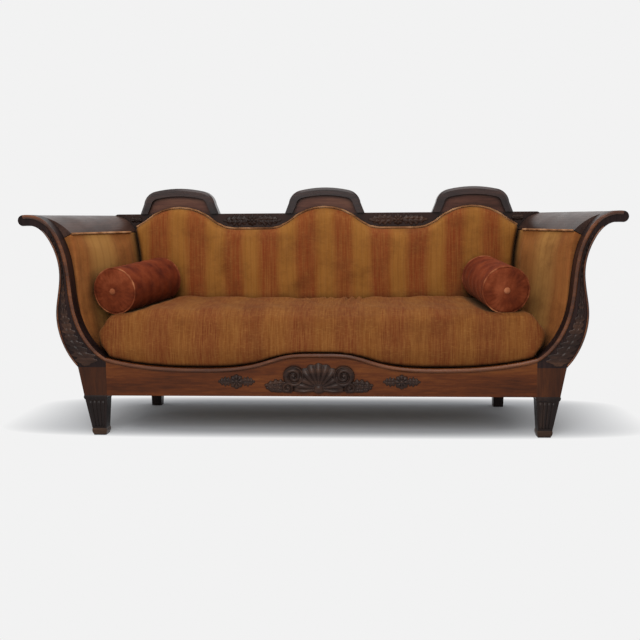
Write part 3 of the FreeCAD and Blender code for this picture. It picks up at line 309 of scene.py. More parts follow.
plain_cloth("jute", tone(168, 140, 96), tone(118, 92, 58), 2.4 * MM, 2.0)
plain_cloth("linen", tone(196, 182, 150), tone(158, 142, 110), 1.4 * MM)


def paint(material, *names):
    """Give CAD nodes a material."""
    for name in names:
        node = NODES[name]
        node.data.materials.clear()
        node.data.materials.append(looks[material])


paint("rail_wood", "front_rail", "rear_rail")
paint("bead_wood", "front_rail_bead", "arm_beads")
paint("cap_wood", "crest_caps")
paint("crest_wood", "crest_rail")
paint("pine", "seat_braces", "corner_blocks", "back_bottom_rail", "back_muntins")
for name, _ in SIDES:
    paint("frame_wood", f"{name}_side_rail", f"{name}_back_stile")
    paint("block_wood", f"{name}_front_leg")
    paint("foot_wood", f"{name}_rear_leg")
    paint("facing_wood", f"{name}_arm_facing")
    paint("roll_wood", f"{name}_arm_roll")
    paint("pine", f"{name}_arm_core")


# Meshes
def new_piece(name, mesh, material, body, replaced=()):
    """A finished piece: its material, its body and the CAD nodes it stands for."""
    piece = bpy.data.objects.new(name, mesh)
    bpy.context.scene.collection.objects.link(piece)
    for face in mesh.polygons:
        face.use_smooth = True
    mesh.materials.clear()
    for one in material if isinstance(material, tuple) else (material,):
        mesh.materials.append(looks[one])
    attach(piece, body)
    if replaced:
        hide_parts(*replaced)
    return piece


def mesh_of(name, points, faces):
    """A mesh from points and faces."""
    mesh = bpy.data.meshes.new(name)
    mesh.from_pydata([tuple(point) for point in points], [], faces)
    mesh.update()
    return mesh


def rows_of(items, attribute):
    """An attribute of many items, as rows of x, y and z."""
    values = np.empty(len(items) * 3)
    items.foreach_get(attribute, values)
    return values.reshape(-1, 3)


def coordinates(mesh):
    """The places of a mesh's points."""
    return rows_of(mesh.vertices, "co")


def move_to(mesh, points):
    """Put a mesh's points at new places."""
    mesh.vertices.foreach_set("co", np.asarray(points, dtype=float).ravel())
    mesh.update()


def evaluated(piece):
    """The mesh of a piece with its modifiers applied."""
    graph = bpy.context.evaluated_depsgraph_get()
    return bpy.data.meshes.new_from_object(piece.evaluated_get(graph))


def with_modifier(mesh, kind, **settings):
    """A mesh after one modifier."""
    holder = bpy.data.objects.new("holder", mesh)
    bpy.context.scene.collection.objects.link(holder)
    modifier = holder.modifiers.new(kind, kind)
    for key, value in settings.items():
        setattr(modifier, key, value)
    result = evaluated(holder)
    bpy.data.objects.remove(holder)
    return result


def smooth_step(value, low, high):
    """A soft rise from 0 at low to 1 at high."""
    share = np.clip((value - low) / (high - low), 0, 1)
    return share * share * (3 - 2 * share)


def hump(value, centre, width):
    """A bell curve of height 1."""
    return np.exp(-((value - centre) / width) ** 2)


def remeshed(node, voxel, smoothing):
    """An even mesh of a CAD solid, made of cells of a size and then smoothed."""
    mesh = with_modifier(NODES[node].data.copy(), "REMESH", mode="VOXEL", voxel_size=voxel)
    return with_modifier(mesh, "SMOOTH", factor=0.5, iterations=smoothing)


COARSE = 2.4  # the cells of the simulated mesh, against those of the shown one
CLOTH_FRAMES = 20


def blown(node, voxel):
    """A short cloth simulation of a CAD solid's coarse mesh: its points at the start, and their moves."""
    mesh = remeshed(node, voxel, 3)
    start = coordinates(mesh)
    holder = bpy.data.objects.new("cloth_holder", mesh)
    bpy.context.scene.collection.objects.link(holder)
    settings = holder.modifiers.new("cloth", "CLOTH").settings
    settings.quality = 4
    settings.use_pressure = True
    settings.uniform_pressure_force = 4.0
    settings.tension_stiffness = 12
    settings.compression_stiffness = 6
    settings.bending_stiffness = 0.6
    settings.effector_weights.gravity = 0
    scene = bpy.context.scene
    for step in range(1, CLOTH_FRAMES + 1):
        scene.frame_set(step)
    moves = coordinates(evaluated(holder)) - start
    bpy.data.objects.remove(holder)
    scene.frame_set(1)
    return start, moves


def carried(start, moves, points):
    """The moves of a coarse mesh at the points of a fine one, from the six nearest."""
    tree = KDTree(len(start))
    for index, point in enumerate(start):
        tree.insert(point, index)
    tree.balance()
    result = np.zeros_like(points)
    for index, point in enumerate(points):
        near = tree.find_n(point, 6)
        weights = np.array([1 / (distance + 0.002) ** 2 for _, _, distance in near])
        result[index] = weights @ moves[[number for _, number, _ in near]] / weights.sum()
    return result


def uneven(mesh, held, size, axis):
    """The slow unevenness of an old stuffing, along one axis."""
    points = coordinates(mesh)
    x, y, z = points.T
    lumps = np.sin(x * 31 + 1.3 * np.sin(z * 17)) * np.sin(z * 23 + y * 19 + 0.7)
    ripples = 0.5 * np.sin(x * 67 + y * 41 + z * 29)
    points[:, axis] += size * (lumps + ripples) * held(points)
    move_to(mesh, points)


def stuffed(node, voxel, cap, held, smoothing):
    """A soft piece from its CAD solid: remeshed, blown up by a cloth simulation, and kept near its start.

    No point moves further than the cap. held(points) says how freely each may move, from 0 to 1.
    """
    mesh = remeshed(node, voxel, smoothing)
    start = coordinates(mesh)
    moved = carried(*blown(node, COARSE * voxel), start)
    length = np.linalg.norm(moved, axis=1, keepdims=True)
    moved *= np.minimum(1, cap / np.maximum(length, 1e-9))
    move_to(mesh, start + moved * held(start)[:, None])
    return mesh


# Outlines read from the CAD solids
def outline(node, depth):
    """The edges of a node's outline on the plane y = depth, as pairs of (x, z)."""
    work = bmesh.new()
    work.from_mesh(NODES[node].data)
    bmesh.ops.remove_doubles(work, verts=work.verts, dist=1e-6)
    edges = []
    for edge in work.edges:
        flat = all(abs(vertex.co.y - depth) < 1e-4 for vertex in edge.verts)
        if flat and any(abs(face.normal.y) < 0.9 for face in edge.link_faces):
            edges.append([(vertex.co.x, vertex.co.z) for vertex in edge.verts])
    work.free()
    return np.array(edges)


def crossings(edges, value, axis):
    """Where an outline crosses x = value (axis 0) or z = value (axis 1), in rising order."""
    low, high = edges[:, 0, axis], edges[:, 1, axis]
    hit = (low - value) * (high - value) < 0
    share = (value - low[hit]) / (high[hit] - low[hit])
    other = 1 - axis
    return np.sort(edges[hit, 0, other] + share * (edges[hit, 1, other] - edges[hit, 0, other]))


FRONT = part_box("front_rail")[0][1]
BACK_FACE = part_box("crest_rail")[0][1]
rail_edges = outline("front_rail", FRONT)
facing_edges = outline("right_arm_facing", FRONT)


def rail_top(x):
    """The height of the front rail's top edge."""
    return crossings(rail_edges, x, 0)[-1]


def facing_sides(height):
    """The inner and outer x of the right facing at a height."""
    found = crossings(facing_edges, height, 1)
    return found[0], found[-1]


LEAST_RELIEF = 0.25 * MM
CARVING_DEPTH = 0.4 * MM  # how far a carving's walls run into the wood behind it


def relief(name, x, z, height, back, replaced=()):
    """A carving: a grid of points that stand up from the plane y = back by their heights."""
    rows, columns = x.shape
    points = np.stack([x, back - height, z], axis=-1).reshape(-1, 3)
    index = np.arange(rows * columns).reshape(rows, columns)
    corners = np.stack([index[:-1, :-1], index[1:, :-1], index[1:, 1:], index[:-1, 1:]], axis=-1)
    corners = corners.reshape(-1, 4)
    kept = corners[height.reshape(-1)[corners].max(axis=1) > LEAST_RELIEF]
    used, faces = np.unique(kept, return_inverse=True)
    mesh = mesh_of(name, points[used], faces.reshape(-1, 4).tolist())
    work = bmesh.new()
    work.from_mesh(mesh)
    walls = bmesh.ops.extrude_face_region(work, geom=list(work.faces))
    for item in walls["geom"]:
        if isinstance(item, bmesh.types.BMVert):
            item.co.y = back + CARVING_DEPTH
    bmesh.ops.recalc_face_normals(work, faces=work.faces)
    work.to_mesh(mesh)
    work.free()
    new_piece(name, mesh, "carved_wood", "frame", replaced)


def skin(first, rings, sides):
    """The faces of a skin over rings of points, numbered from first, with a cap on each end."""
    faces = []
    for ring in range(rings - 1):
        for step in range(sides):
            a = first + ring * sides + step
            b = first + ring * sides + (step + 1) % sides
            faces.append((a, b, b + sides, a + sides))
    faces.append(tuple(range(first + sides - 1, first - 1, -1)))
    last = first + (rings - 1) * sides
    faces.append(tuple(range(last, last + sides)))
    return faces


def tube(name, path, radius, sides, material, slot, replaced=(), twist=0.0, strands=1, lay=0.0):
    """A closed tube along a path, or strands that twist round it at a distance, the lay."""
    path = np.asarray(path, dtype=float)
    steps = np.diff(path, axis=0)
    run = np.concatenate([[0], np.cumsum(np.linalg.norm(steps, axis=1))])
    ways = np.gradient(path, axis=0)
    ways /= np.linalg.norm(ways, axis=1, keepdims=True)
    side = np.cross(ways, np.array([0, 1.0, 0]))
    side /= np.linalg.norm(side, axis=1, keepdims=True)
    up = np.cross(side, ways)
    points, faces = [], []
    turns = np.linspace(0, 2 * math.pi, sides, endpoint=False)
    for strand in range(strands):
        phase = 2 * math.pi * strand / strands + run * twist
        centre = path + lay * (np.cos(phase)[:, None] * side + np.sin(phase)[:, None] * up)
        faces += skin(len(points), len(path), sides)
        for ring in range(len(path)):
            for turn in turns:
                outward = math.cos(turn) * side[ring] + math.sin(turn) * up[ring]
                points.append(centre[ring] + radius * outward)
    new_piece(name, mesh_of(name, points, faces), material, "frame", replaced)


def sampled(path, pitch):
    """A path's points respaced at an even pitch."""
    path = np.asarray(path, dtype=float)
    run = np.concatenate([[0], np.cumsum(np.linalg.norm(np.diff(path, axis=0), axis=1))])
    even = np.linspace(0, run[-1], max(2, int(run[-1] / pitch) + 1))
    return np.stack([np.interp(even, run, path[:, axis]) for axis in range(3)], axis=-1)


# Loose squab, back and arms
squab_low, squab_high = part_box("seat_squab")
BOLSTER_RADIUS = 0.090


def axis_ends(name):
    """The two ends of a bolster's axis, from its buttons."""
    points = coordinates(NODES[f"{name}_bolster_buttons"].data)
    near = points[points[:, 1] < points[:, 1].mean()]
    far = points[points[:, 1] >= points[:, 1].mean()]
    return near.mean(axis=0), far.mean(axis=0)


def bolster_frame(name):
    """The near end of a bolster, its length, its way, and two directions across it."""
    start, end = axis_ends(name)
    length = np.linalg.norm(end - start)
    way = (end - start) / length
    across = np.cross(way, np.array([0, 0, 1.0]))
    across /= np.linalg.norm(across)
    return start, length, way, across, np.cross(across, way)


def clear_of_bolsters(points, near, far):
    """0 at points nearer to a bolster than one distance, rising to 1 at another."""
    free = np.ones(len(points))
    for name, _ in SIDES:
        start, length, way, _, _ = bolster_frame(name)
        along = np.clip((points - start) @ way, 0, length)
        distance = np.linalg.norm(points - start - along[:, None] * way, axis=1)
        free *= smooth_step(distance, BOLSTER_RADIUS + near, BOLSTER_RADIUS + far)
    return free


def squab_held(points):
    """The squab swells on top and in front, and keeps its shape where it rests or is pressed."""
    free = smooth_step(points[:, 2], squab_low[2] + 0.07, squab_low[2] + 0.17)
    free *= 1 - 0.75 * smooth_step(np.abs(points[:, 0]), 0.74, 0.82)
    free *= 1 - smooth_step(points[:, 1], squab_high[1] - 0.03, squab_high[1] - 0.01)
    return free * clear_of_bolsters(points, 0.004, 0.05)


FOLD_REAR = 0.19
FOLD_WIDTH = 0.008
FOLDS = (  # for each pulled fold: its x at the rear, how far forward it runs, and its height in millimetres
    (0.010, 0.34, 5.0), (0.045, 0.24, 4.0), (0.100, 0.42, 8.0),
    (0.130, 0.40, 8.0), (0.162, 0.34, 6.0), (-0.060, 0.22, 3.0))


def squab_creases(mesh):
    """Short pulled folds at the back of the seat, and a slack hollow in each half, where people sit."""
    points = coordinates(mesh)
    x, y, z = points.T
    top = smooth_step(z, squab_high[2] - 0.06, squab_high[2] - 0.035)
    move = np.zeros_like(x)
    for centre, reach, deep in FOLDS:
        lean = centre + (y - FOLD_REAR) * 0.10
        along = smooth_step(y, FOLD_REAR - reach, FOLD_REAR - 0.35 * reach)
        fold = hump(x, lean, FOLD_WIDTH) - 0.9 * hump(x, lean + 0.014, FOLD_WIDTH)
        move += deep * MM * along * fold
    slack = hump(x, 0.30, 0.26) + hump(x, -0.30, 0.26)
    move -= 5 * MM * slack * hump(y, -0.02, 0.16)
    points[:, 2] += move * top - 14 * MM * smooth_step(y, squab_high[1] - 0.04, squab_high[1]) * top
    move_to(mesh, points)


SQUAB_BOTTOM = 0.305
ARM_GAP = 5 * MM
ARM_LEAN = 0.24  # how much the arms draw in for each metre of depth


def squab_ends(mesh):
    """The ends swell at mid height, draw in below it and slope down beyond the bolsters."""
    points = coordinates(mesh)
    x, y, z = points.T
    side, reach = np.sign(x), np.abs(x)
    end = smooth_step(reach, 0.79, 0.85)
    swell = 20 * MM * hump(z, 0.385, 0.034) - 24 * MM * (1 - smooth_step(z, SQUAB_BOTTOM, 0.352))
    levels = np.linspace(SQUAB_BOTTOM, 0.5, 40)
    limit = np.array([facing_sides(level)[0] for level in levels]) - ARM_GAP
    room = np.interp(z, levels, limit) - ARM_LEAN * np.clip(y + 0.24, 0, None)
    moved = reach + swell * end
    moved = np.where(swell > 0, np.minimum(moved, np.maximum(room, reach)), moved)
    points[:, 0] = side * moved
    slope = 22 * MM * smooth_step(reach, 0.79, 0.86) * smooth_step(z, 0.40, 0.46)
    points[:, 2] -= slope * clear_of_bolsters(points, 0.002, 0.02)
    move_to(mesh, points)


def squab_front_held(points):
    """Only the squab's front face moves."""
    return squab_held(points) * (points[:, 1] < -0.20)


squab_mesh = stuffed("seat_squab", 7 * MM, 16 * MM, squab_held, 10)
squab_creases(squab_mesh)
squab_ends(squab_mesh)
uneven(squab_mesh, squab_held, 2.2 * MM, 2)
uneven(squab_mesh, squab_front_held, 2.0 * MM, 1)
squab = new_piece("squab_cushion", squab_mesh, "seat_cloth", "squab", ("seat_squab",))

back_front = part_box("back_pad")[0][1]


def back_held(points):
    """The back swells forward only, and less beside the arms."""
    free = 1 - smooth_step(points[:, 1], back_front + 0.012, back_front + 0.045)
    return free * (1 - 0.7 * smooth_step(np.abs(points[:, 0]), 0.70, 0.78))


back_mesh = stuffed("back_pad", 7 * MM, 9 * MM, back_held, 8)
uneven(back_mesh, back_held, 1.8 * MM, 1)
back = new_piece("back_upholstery", back_mesh, "back_cloth", "frame", ("back_pad",))


def arm_upholstery(name):
    """A stuffed arm pad that swells between its front and the back."""
    node = f"{name}_arm_pad"
    pad_low, pad_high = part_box(node)

    def arm_held(points):
        """The pad keeps its shape at its two ends and along its top."""
        ends = smooth_step(points[:, 1], pad_low[1] + 0.004, pad_low[1] + 0.05)
        ends *= 1 - smooth_step(points[:, 1], 0.16, 0.19)
        return ends * (1 - smooth_step(points[:, 2], pad_high[2] - 0.03, pad_high[2]))

    mesh = stuffed(node, 6 * MM, 7 * MM, arm_held, 6)
    uneven(mesh, arm_held, 1.8 * MM, 0)
    pad = new_piece(f"{name}_arm_upholstery", mesh, "arm_cloth", "frame", (node,))


for name, _ in SIDES:
    arm_upholstery(name)


# Bolsters
SEAM_INSET = 0.019
SEAM_RADIUS = 0.0885
END_CLOTH = 0.017  # how far along the barrel the end's cloth comes
PLEATS = 26


def gathered(mesh, name):
    """Pleats towards the middle of each end, and shallow slack folds round the barrel."""
    start, length, way, across, up = bolster_frame(name)
    points = coordinates(mesh)
    local = points - start
    along, flat_x, flat_z = local @ way, local @ across, local @ up
    radius, turn = np.hypot(flat_x, flat_z), np.arctan2(flat_z, flat_x)
    from_middle = along - length / 2
    end = smooth_step(np.abs(from_middle), length / 2 - 0.02, length / 2 - 0.010)
    fade = smooth_step(radius, 0.012, 0.03) * (1 - smooth_step(radius, 0.07, 0.088))
    pleat = np.cos(turn * PLEATS + 0.8 * np.sin(turn * 3)) * 1.3 * MM * end * fade
    points += way * (np.sign(from_middle) * pleat)[:, None]
    barrel = (1 - end) * smooth_step(radius, 0.07, 0.08)
    fold = np.sin(along * 95 + np.sin(turn * 2) * 1.6) * np.sin(turn * 3 + along * 9) * 1.1 * MM * barrel
    points += across * (np.cos(turn) * fold)[:, None] + up * (np.sin(turn) * fold)[:, None]
    move_to(mesh, points)


def closed_cord(name, ring, way, body):
    """A corded seam along a ring of points, with a slight twist in its thickness."""
    centre = ring.mean(axis=0)
    points, faces = [], []
    sides = 8
    for index, point in enumerate(ring):
        outward = (point - centre) / np.linalg.norm(point - centre)
        for step in range(sides):
            turn = 2 * math.pi * step / sides
            thick = (3.0 + 0.5 * math.cos(turn * 2 + index * 0.9)) * MM
            points.append(point + thick * (outward * math.cos(turn) + way * math.sin(turn)))
    for index in range(len(ring)):
        following = (index + 1) % len(ring)
        for step in range(sides):
            next_step = (step + 1) % sides
            faces.append((index * sides + step, index * sides + next_step,
                          following * sides + next_step, following * sides + step))
    new_piece(name, mesh_of(name, points, faces), "cord", body)


BUTTON_RADIUS = 0.0125
BUTTON_HEIGHT = 0.0075
BUTTON_SINK = 0.003


def buttons(name):
    """A domed covered button on each end of a bolster."""
    start, length, way, across, up = bolster_frame(name)
    points, faces = [], []
    rings = 8
    sides = 24
    for depth, outward in ((0.0, -1), (length, 1)):
        faces += skin(len(points), rings, sides)
        centre = start + way * depth
        for ring in range(rings):
            angle = math.pi / 2 * ring / (rings - 1)
            radius = max(BUTTON_RADIUS * math.cos(angle), 0.2 * MM)
            height = BUTTON_HEIGHT * math.sin(angle) - BUTTON_SINK
            for step in range(sides):
                turn = 2 * math.pi * step / sides
                spoke = across * math.cos(turn) + up * math.sin(turn)
                points.append(centre + way * outward * height + spoke * radius)
    piece = new_piece(f"{name}_bolster_button_pair", mesh_of("buttons", points, faces), "button",
                      f"{name}_bolster", (f"{name}_bolster_buttons",))


def all_of(points):
    """Every point moves freely."""
    return np.ones(len(points))


def dressed_bolster(name):
    """A velvet bolster with gathered ends drawn to a button, and a corded seam round each end."""
    node = f"{name}_bolster"
    mesh = stuffed(node, 5 * MM, 3 * MM, all_of, 5)
    gathered(mesh, name)
    cloths = ("velvet", "velvet_end")
    piece = new_piece(f"{name}_bolster_cushion", mesh, cloths, node, (node,))
    start, length, way, across, up = bolster_frame(name)
    for face in mesh.polygons:
        depth = (np.array(face.center) - start) @ way
        if depth < END_CLOTH or depth > length - END_CLOTH:
            face.material_index = 1
    turns = np.linspace(0, 2 * math.pi, 96, endpoint=False)[:, None]
    spokes = (across * np.cos(turns) + up * np.sin(turns)) * SEAM_RADIUS
    for label, depth in (("front", SEAM_INSET), ("rear", length - SEAM_INSET)):
        closed_cord(f"{name}_bolster_{label}_cord", start + way * depth + spokes, way, node)
    buttons(name)


for name, _ in SIDES:
    dressed_bolster(name)


# Gimp along the arches and the arms
GIMP_PITCH = 2.0 * MM
GIMP_SINK = 4.5 * MM
TWISTED = {"twist": 2 * math.pi / 0.016, "strands": 2, "lay": 2.3 * MM}

piping_low, piping_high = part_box("back_piping")
piping_edges = outline("back_piping", piping_low[1])
arch = []
for x in np.linspace(piping_low[0] + 1 * MM, piping_high[0] - 1 * MM, 260):
    arch.append((x, BACK_FACE - GIMP_SINK, crossings(piping_edges, x, 0).mean()))
run = sampled(arch, GIMP_PITCH)
tube("arch_gimp", run, 2.5 * MM, 6, "gimp", "piping_cord", ("back_piping",), **TWISTED)

for name, side in SIDES:
    pad_points = coordinates(NODES[f"{name}_arm_pad"].data)
    rim = pad_points[pad_points[:, 2] > pad_points[:, 2].max() - 0.5 * MM]
    front, rear = rim[rim[:, 1].argmin()], rim[rim[:, 1].argmax()]
    outside = np.array([-side * 3.0 * MM, 0, -1.0 * MM])
    run = sampled([front + outside, front + outside + (rear - front) * 0.88], GIMP_PITCH)
    tube(f"{name}_arm_gimp", run, 2.3 * MM, 6, "gimp", "piping_cord", **TWISTED)


# Hidden cloths
def copied(name, node, material):
    """A CAD solid's own form as a visible piece, with its flats divided."""
    work = bmesh.new()
    work.from_mesh(NODES[node].data)
    bmesh.ops.remove_doubles(work, verts=work.verts, dist=1e-6)
    bmesh.ops.subdivide_edges(work, edges=work.edges, cuts=1, use_grid_fill=True)
    bmesh.ops.triangulate(work, faces=work.faces)
    mesh = bpy.data.meshes.new(name)
    work.to_mesh(mesh)
    work.free()
    piece = new_piece(name, mesh, material, "frame", (node,))
    for face in mesh.polygons:
        face.use_smooth = False
    return piece


deck_mesh = remeshed("seat_deck", 9 * MM, 4)
deck = new_piece("seat_platform", deck_mesh, "linen", "frame", ("seat_deck",))
copied("seat_straps", "seat_webbing", "jute")
copied("back_straps", "back_webbing", "jute")
copied("seat_sacking", "seat_hessian", "jute")
for name, _ in SIDES:
    cover = copied(f"{name}_outside_cover", f"{name}_outside_arm", "outer_cloth")
rear_cover = copied("rear_cover", "outside_back", "outer_cloth")


# Carvings
def dome(value):
    """A round swelling: 1 at 0, and nothing from 1 on."""
    return np.sqrt(np.clip(1 - value ** 2, 0, 1))


def leaf(u, v, lobes, vein=0.35):
    """The height of a lobed leaf, with u from 0 at its stem to 1 at its tip, and v across from -1 to 1."""
    inside = (u > 0) & (u < 1)
    u = np.clip(u, 1e-4, 1 - 1e-4)
    envelope = np.sin(math.pi * u ** 0.8) ** 0.75 * (0.80 + 0.20 * np.cos(2 * math.pi * lobes * u + 0.6))
    share = np.abs(v) / np.maximum(envelope, 1e-4)
    ribs = 0.78 + 0.22 * np.cos(2 * math.pi * (lobes * u - 0.9 * np.abs(v)) + 0.6)
    groove = 1 - vein * hump(v, 0, 0.09)
    swell = 0.55 + 0.45 * np.sin(math.pi * u)
    return np.where(inside & (share < 1), dome(share) * ribs * groove * swell, 0)


def volute(x, z, radius, way, turns=2.2):
    """The height of a spiral scroll of a radius, winding one way."""
    reach, angle = np.hypot(x, z), np.arctan2(z, x * way)
    ridge = 0.5 + 0.5 * np.cos(2 * math.pi * turns * reach / radius - angle)
    rim = np.clip((radius - reach) / (0.10 * radius), 0, 1) ** 0.5
    eye = dome(reach / (0.2 * radius))
    return np.maximum((0.45 + 0.45 * ridge ** 0.6) * rim, eye) * (reach < radius)


def flower(x, z, radius):
    """The height of a round flower with eight petals and a boss."""
    reach, angle = np.hypot(x, z) / radius, np.arctan2(z, x)
    wave = np.abs(np.cos(4 * angle))
    edge = 0.86 + 0.14 * wave
    petal = (0.35 + 0.65 * wave ** 0.7) * np.sin(math.pi * np.clip(reach / edge, 0, 1)) ** 0.6
    return np.maximum(petal * 0.8, dome(reach / 0.3)) * (reach < edge)


def flower_with_leaves(across, up, radius, stem, leaf_reach, leaf_half, lobes, leaf_height):
    """A flower with a leaf to its left and its right."""
    height = flower(across, up, radius)
    for way in (-1, 1):
        one = leaf((way * across - stem) / leaf_reach, up / leaf_half, lobes)
        height = np.maximum(height, leaf_height * one)
    return height


def grid(x_low, x_high, z_low, z_high, step):
    """The places of a grid of points over a rectangle."""
    xs = np.arange(x_low, x_high + step / 2, step)
    zs = np.arange(z_low, z_high + step / 2, step)
    return np.meshgrid(xs, zs)


SHELL_RADIUS = 0.098
SHELL_RIBS = 9
CARVING_STEP = 1.2 * MM


def centre_shell():
    """A ribbed shell between two scrolls, with leaves trailing from them."""
    _, front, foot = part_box("centre_carving")[0]
    lift = FRONT - front - 0.5 * MM
    x, z = grid(-0.215, 0.215, foot, 0.30, 1.5 * MM)
    reach, angle = np.hypot(x, z - foot - 0.012), np.arctan2(z - foot - 0.012, x)
    ribs = np.abs(np.sin(angle * SHELL_RIBS))
    edge = SHELL_RADIUS * (0.93 + 0.07 * ribs)
    share = np.clip(reach / edge, 0, 1)
    shell = (0.50 + 0.5 * ribs ** 0.7) * np.sin(math.pi * share ** 1.6 * 0.86 + 0.35)
    height = np.where((reach < edge) & (z > foot + 0.002), np.clip(shell, 0.15, 1) * 0.9, 0)
    height = np.maximum(height, dome(reach / 0.020))
    for side in (-1, 1):
        height = np.maximum(height, volute(x - side * 0.094, z - 0.232, 0.040, -side))
        height = np.maximum(height, 0.8 * volute(x - side * 0.118, z - 0.187, 0.022, side, 1.6))
        for along, rise, lean in ((0.080, 0.205, -0.10), (0.075, 0.180, 0.10)):
            from_stem = side * x - 0.125
            one = leaf(from_stem / along, (z - rise - lean * from_stem) / 0.020, 4)
            height = np.maximum(height, 0.62 * one)
    top = np.array([rail_top(value) for value in x[0]])
    below_bead = z < top[None, :] - 14.5 * MM
    relief("shell_carving", x, z, height * lift * below_bead, FRONT, ("centre_carving",))


def rail_rosettes():
    """A flower with two leaves on each half of the rail."""
    for name, _ in SIDES:
        low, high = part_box(f"{name}_rosette")
        middle, level = (low[0] + high[0]) / 2, (low[2] + high[2]) / 2
        x, z = grid(low[0] - 0.004, high[0] + 0.004, low[2] - 0.002, high[2] + 0.002, CARVING_STEP)
        height = flower_with_leaves(x - middle, z - level, 0.0275, 0.018, 0.052, 0.019, 4, 0.6)
        relief(f"{name}_flower_carving", x, z, height * (FRONT - low[1]), FRONT, (f"{name}_rosette",))


VALLEY_X = 0.3165
VALLEY_SPRAY = (0.128, 0.0255)  # half its width and half its height
END_SPRAY = (0.026, 0.0135)


def crest_sprays():
    """A flower with leaves in each valley of the crest, and at each of its two ends."""
    low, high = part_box("crest_leaves")
    lift = BACK_FACE - low[1]
    points = coordinates(NODES["crest_leaves"].data)
    places = []
    for target in (-VALLEY_X, VALLEY_X):
        near = points[np.abs(points[:, 0] - target) < 0.13]
        places.append((target, near, VALLEY_SPRAY))
    for target in (low[0], high[0]):
        near = points[np.abs(points[:, 0] - target) < 0.06]
        places.append(((near[:, 0].min() + near[:, 0].max()) / 2, near, END_SPRAY))
    for number, (middle, near, (reach, half)) in enumerate(places):
        level = (near[:, 2].min() + near[:, 2].max()) / 2
        wide, tall = reach + 0.002, half + 0.001
        x, z = grid(middle - wide, middle + wide, level - tall, level + tall, CARVING_STEP)
        stem = half * 0.5
        height = flower_with_leaves(x - middle, z - level, half * 0.9, stem, reach - stem, half, 5, 0.8)
        replaced = ("crest_leaves",) if number == 0 else ()
        relief(f"crest_spray_{number}", x, z, height * lift, BACK_FACE, replaced)


KNEE_LOW = 0.270
KNEE_HIGH = 0.772
KNEE_TIERS = (  # for each leaf: where it starts and ends along the facing, and its share of the width
    (0.00, 0.17, 1.0), (0.09, 0.26, 0.95), (0.18, 0.35, 0.85), (0.27, 0.45, 0.75), (0.37, 0.55, 0.62),
    (0.47, 0.65, 0.55), (0.57, 0.75, 0.5), (0.67, 0.84, 0.48), (0.77, 0.93, 0.46), (0.87, 1.0, 0.44))


def facing_carving(name, side):
    """Overlapping leaves up a facing's knee that narrow towards the scroll."""
    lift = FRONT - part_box("knee_leaves")[0][1]
    heights = np.linspace(KNEE_LOW, KNEE_HIGH, 400)
    inner, outer = np.array([facing_sides(value) for value in np.clip(heights, 0.302, 0.79)]).T
    inner = inner + 17 * MM
    outer = outer - 6 * MM
    middle = inner + (outer - inner) * 0.52
    half = (outer - inner) / 2 * 0.96
    along = ((heights - KNEE_LOW) / (KNEE_HIGH - KNEE_LOW))[:, None]
    across = np.linspace(-1, 1, 61)[None, :]
    x = middle[:, None] + half[:, None] * across
    z = np.broadcast_to(heights[:, None], x.shape)
    height = np.zeros_like(x)
    for number, (start, end, wide) in enumerate(KNEE_TIERS):
        one = leaf((along - start) / (end - start), across / wide, 4, 0.5)
        height = np.maximum(height * 0.93, one * (1 - 0.04 * number))
    relief(f"{name}_knee_carving", side * x, z, height * lift, FRONT, ("knee_leaves",) if side > 0 else ())


def facing_edge_bead(name, side):
    """A thin round moulding down the outer edge of a facing."""
    path = []
    for height in np.linspace(0.785, 0.272, 120):
        path.append((side * (facing_sides(height)[1] - 5 * MM), FRONT - 1.0 * MM, height))
    tube(f"{name}_facing_edge", path, 3.2 * MM, 8, "bead_wood", "mahogany")


# Front feet
FOOT_TOP = 0.152


def foot_section(name, level):
    """The low and high x and y of a front foot at a height."""
    points = coordinates(NODES[f"{name}_front_leg"].data)
    tip = points[points[:, 2] < 1 * MM]
    head = points[np.abs(points[:, 2] - FOOT_TOP) < 1 * MM]
    share = level / FOOT_TOP
    low = tip.min(axis=0) * (1 - share) + head.min(axis=0) * share
    high = tip.max(axis=0) * (1 - share) + head.max(axis=0) * share
    return low[:2], high[:2]


def foot_band(name, label, level, width, proud, material):
    """A moulded band round a front foot, in six steps that make a rounded edge."""
    points = []
    steps = 6
    for step in range(steps + 1):
        height = level + width * step / steps
        swell = proud * math.sin(math.pi * step / steps) ** 0.7 + 0.3 * MM
        low, high = foot_section(name, height)
        low, high = low - swell, high + swell
        points += [(low[0], low[1], height), (high[0], low[1], height),
                   (high[0], high[1], height), (low[0], high[1], height)]
    mesh = mesh_of("band", points, skin(0, steps + 1, 4))
    new_piece(f"{name}_foot_{label}", mesh, material, "frame")
    for face in mesh.polygons:
        face.use_smooth = False


REEDS = 4
REED_HEIGHT = 3.2 * MM
REED_SINK = 0.5 * MM


def foot_reeds(name):
    """Four reeds down the front and the outer side of a front foot."""
    way = -1 if name == "left" else 1
    levels = np.linspace(0.034, 0.136, 8)
    turns = np.linspace(0, math.pi, 7)
    points, faces = [], []
    for axis in (0, 1):
        for number in range(REEDS):
            faces += skin(len(points), len(levels), len(turns))
            for level in levels:
                low, high = foot_section(name, level)
                space = high[axis] - low[axis]
                middle = low[axis] + space * (number + 1) / (REEDS + 1)
                half = space / 5.2 / 2
                edge = low[0] + REED_SINK if way < 0 else high[0] - REED_SINK
                for turn in turns:
                    along, proud = half * math.cos(turn), REED_HEIGHT * math.sin(turn)
                    if axis == 0:
                        points.append((middle + along, low[1] + REED_SINK - proud, level))
                    else:
                        points.append((edge + way * proud, middle - way * along, level))
    mesh = mesh_of("reeds", points, faces)
    work = bmesh.new()
    work.from_mesh(mesh)
    bmesh.ops.recalc_face_normals(work, faces=work.faces)
    work.to_mesh(mesh)
    work.free()
    new_piece(f"{name}_foot_reeds", mesh, "foot_wood", "frame")


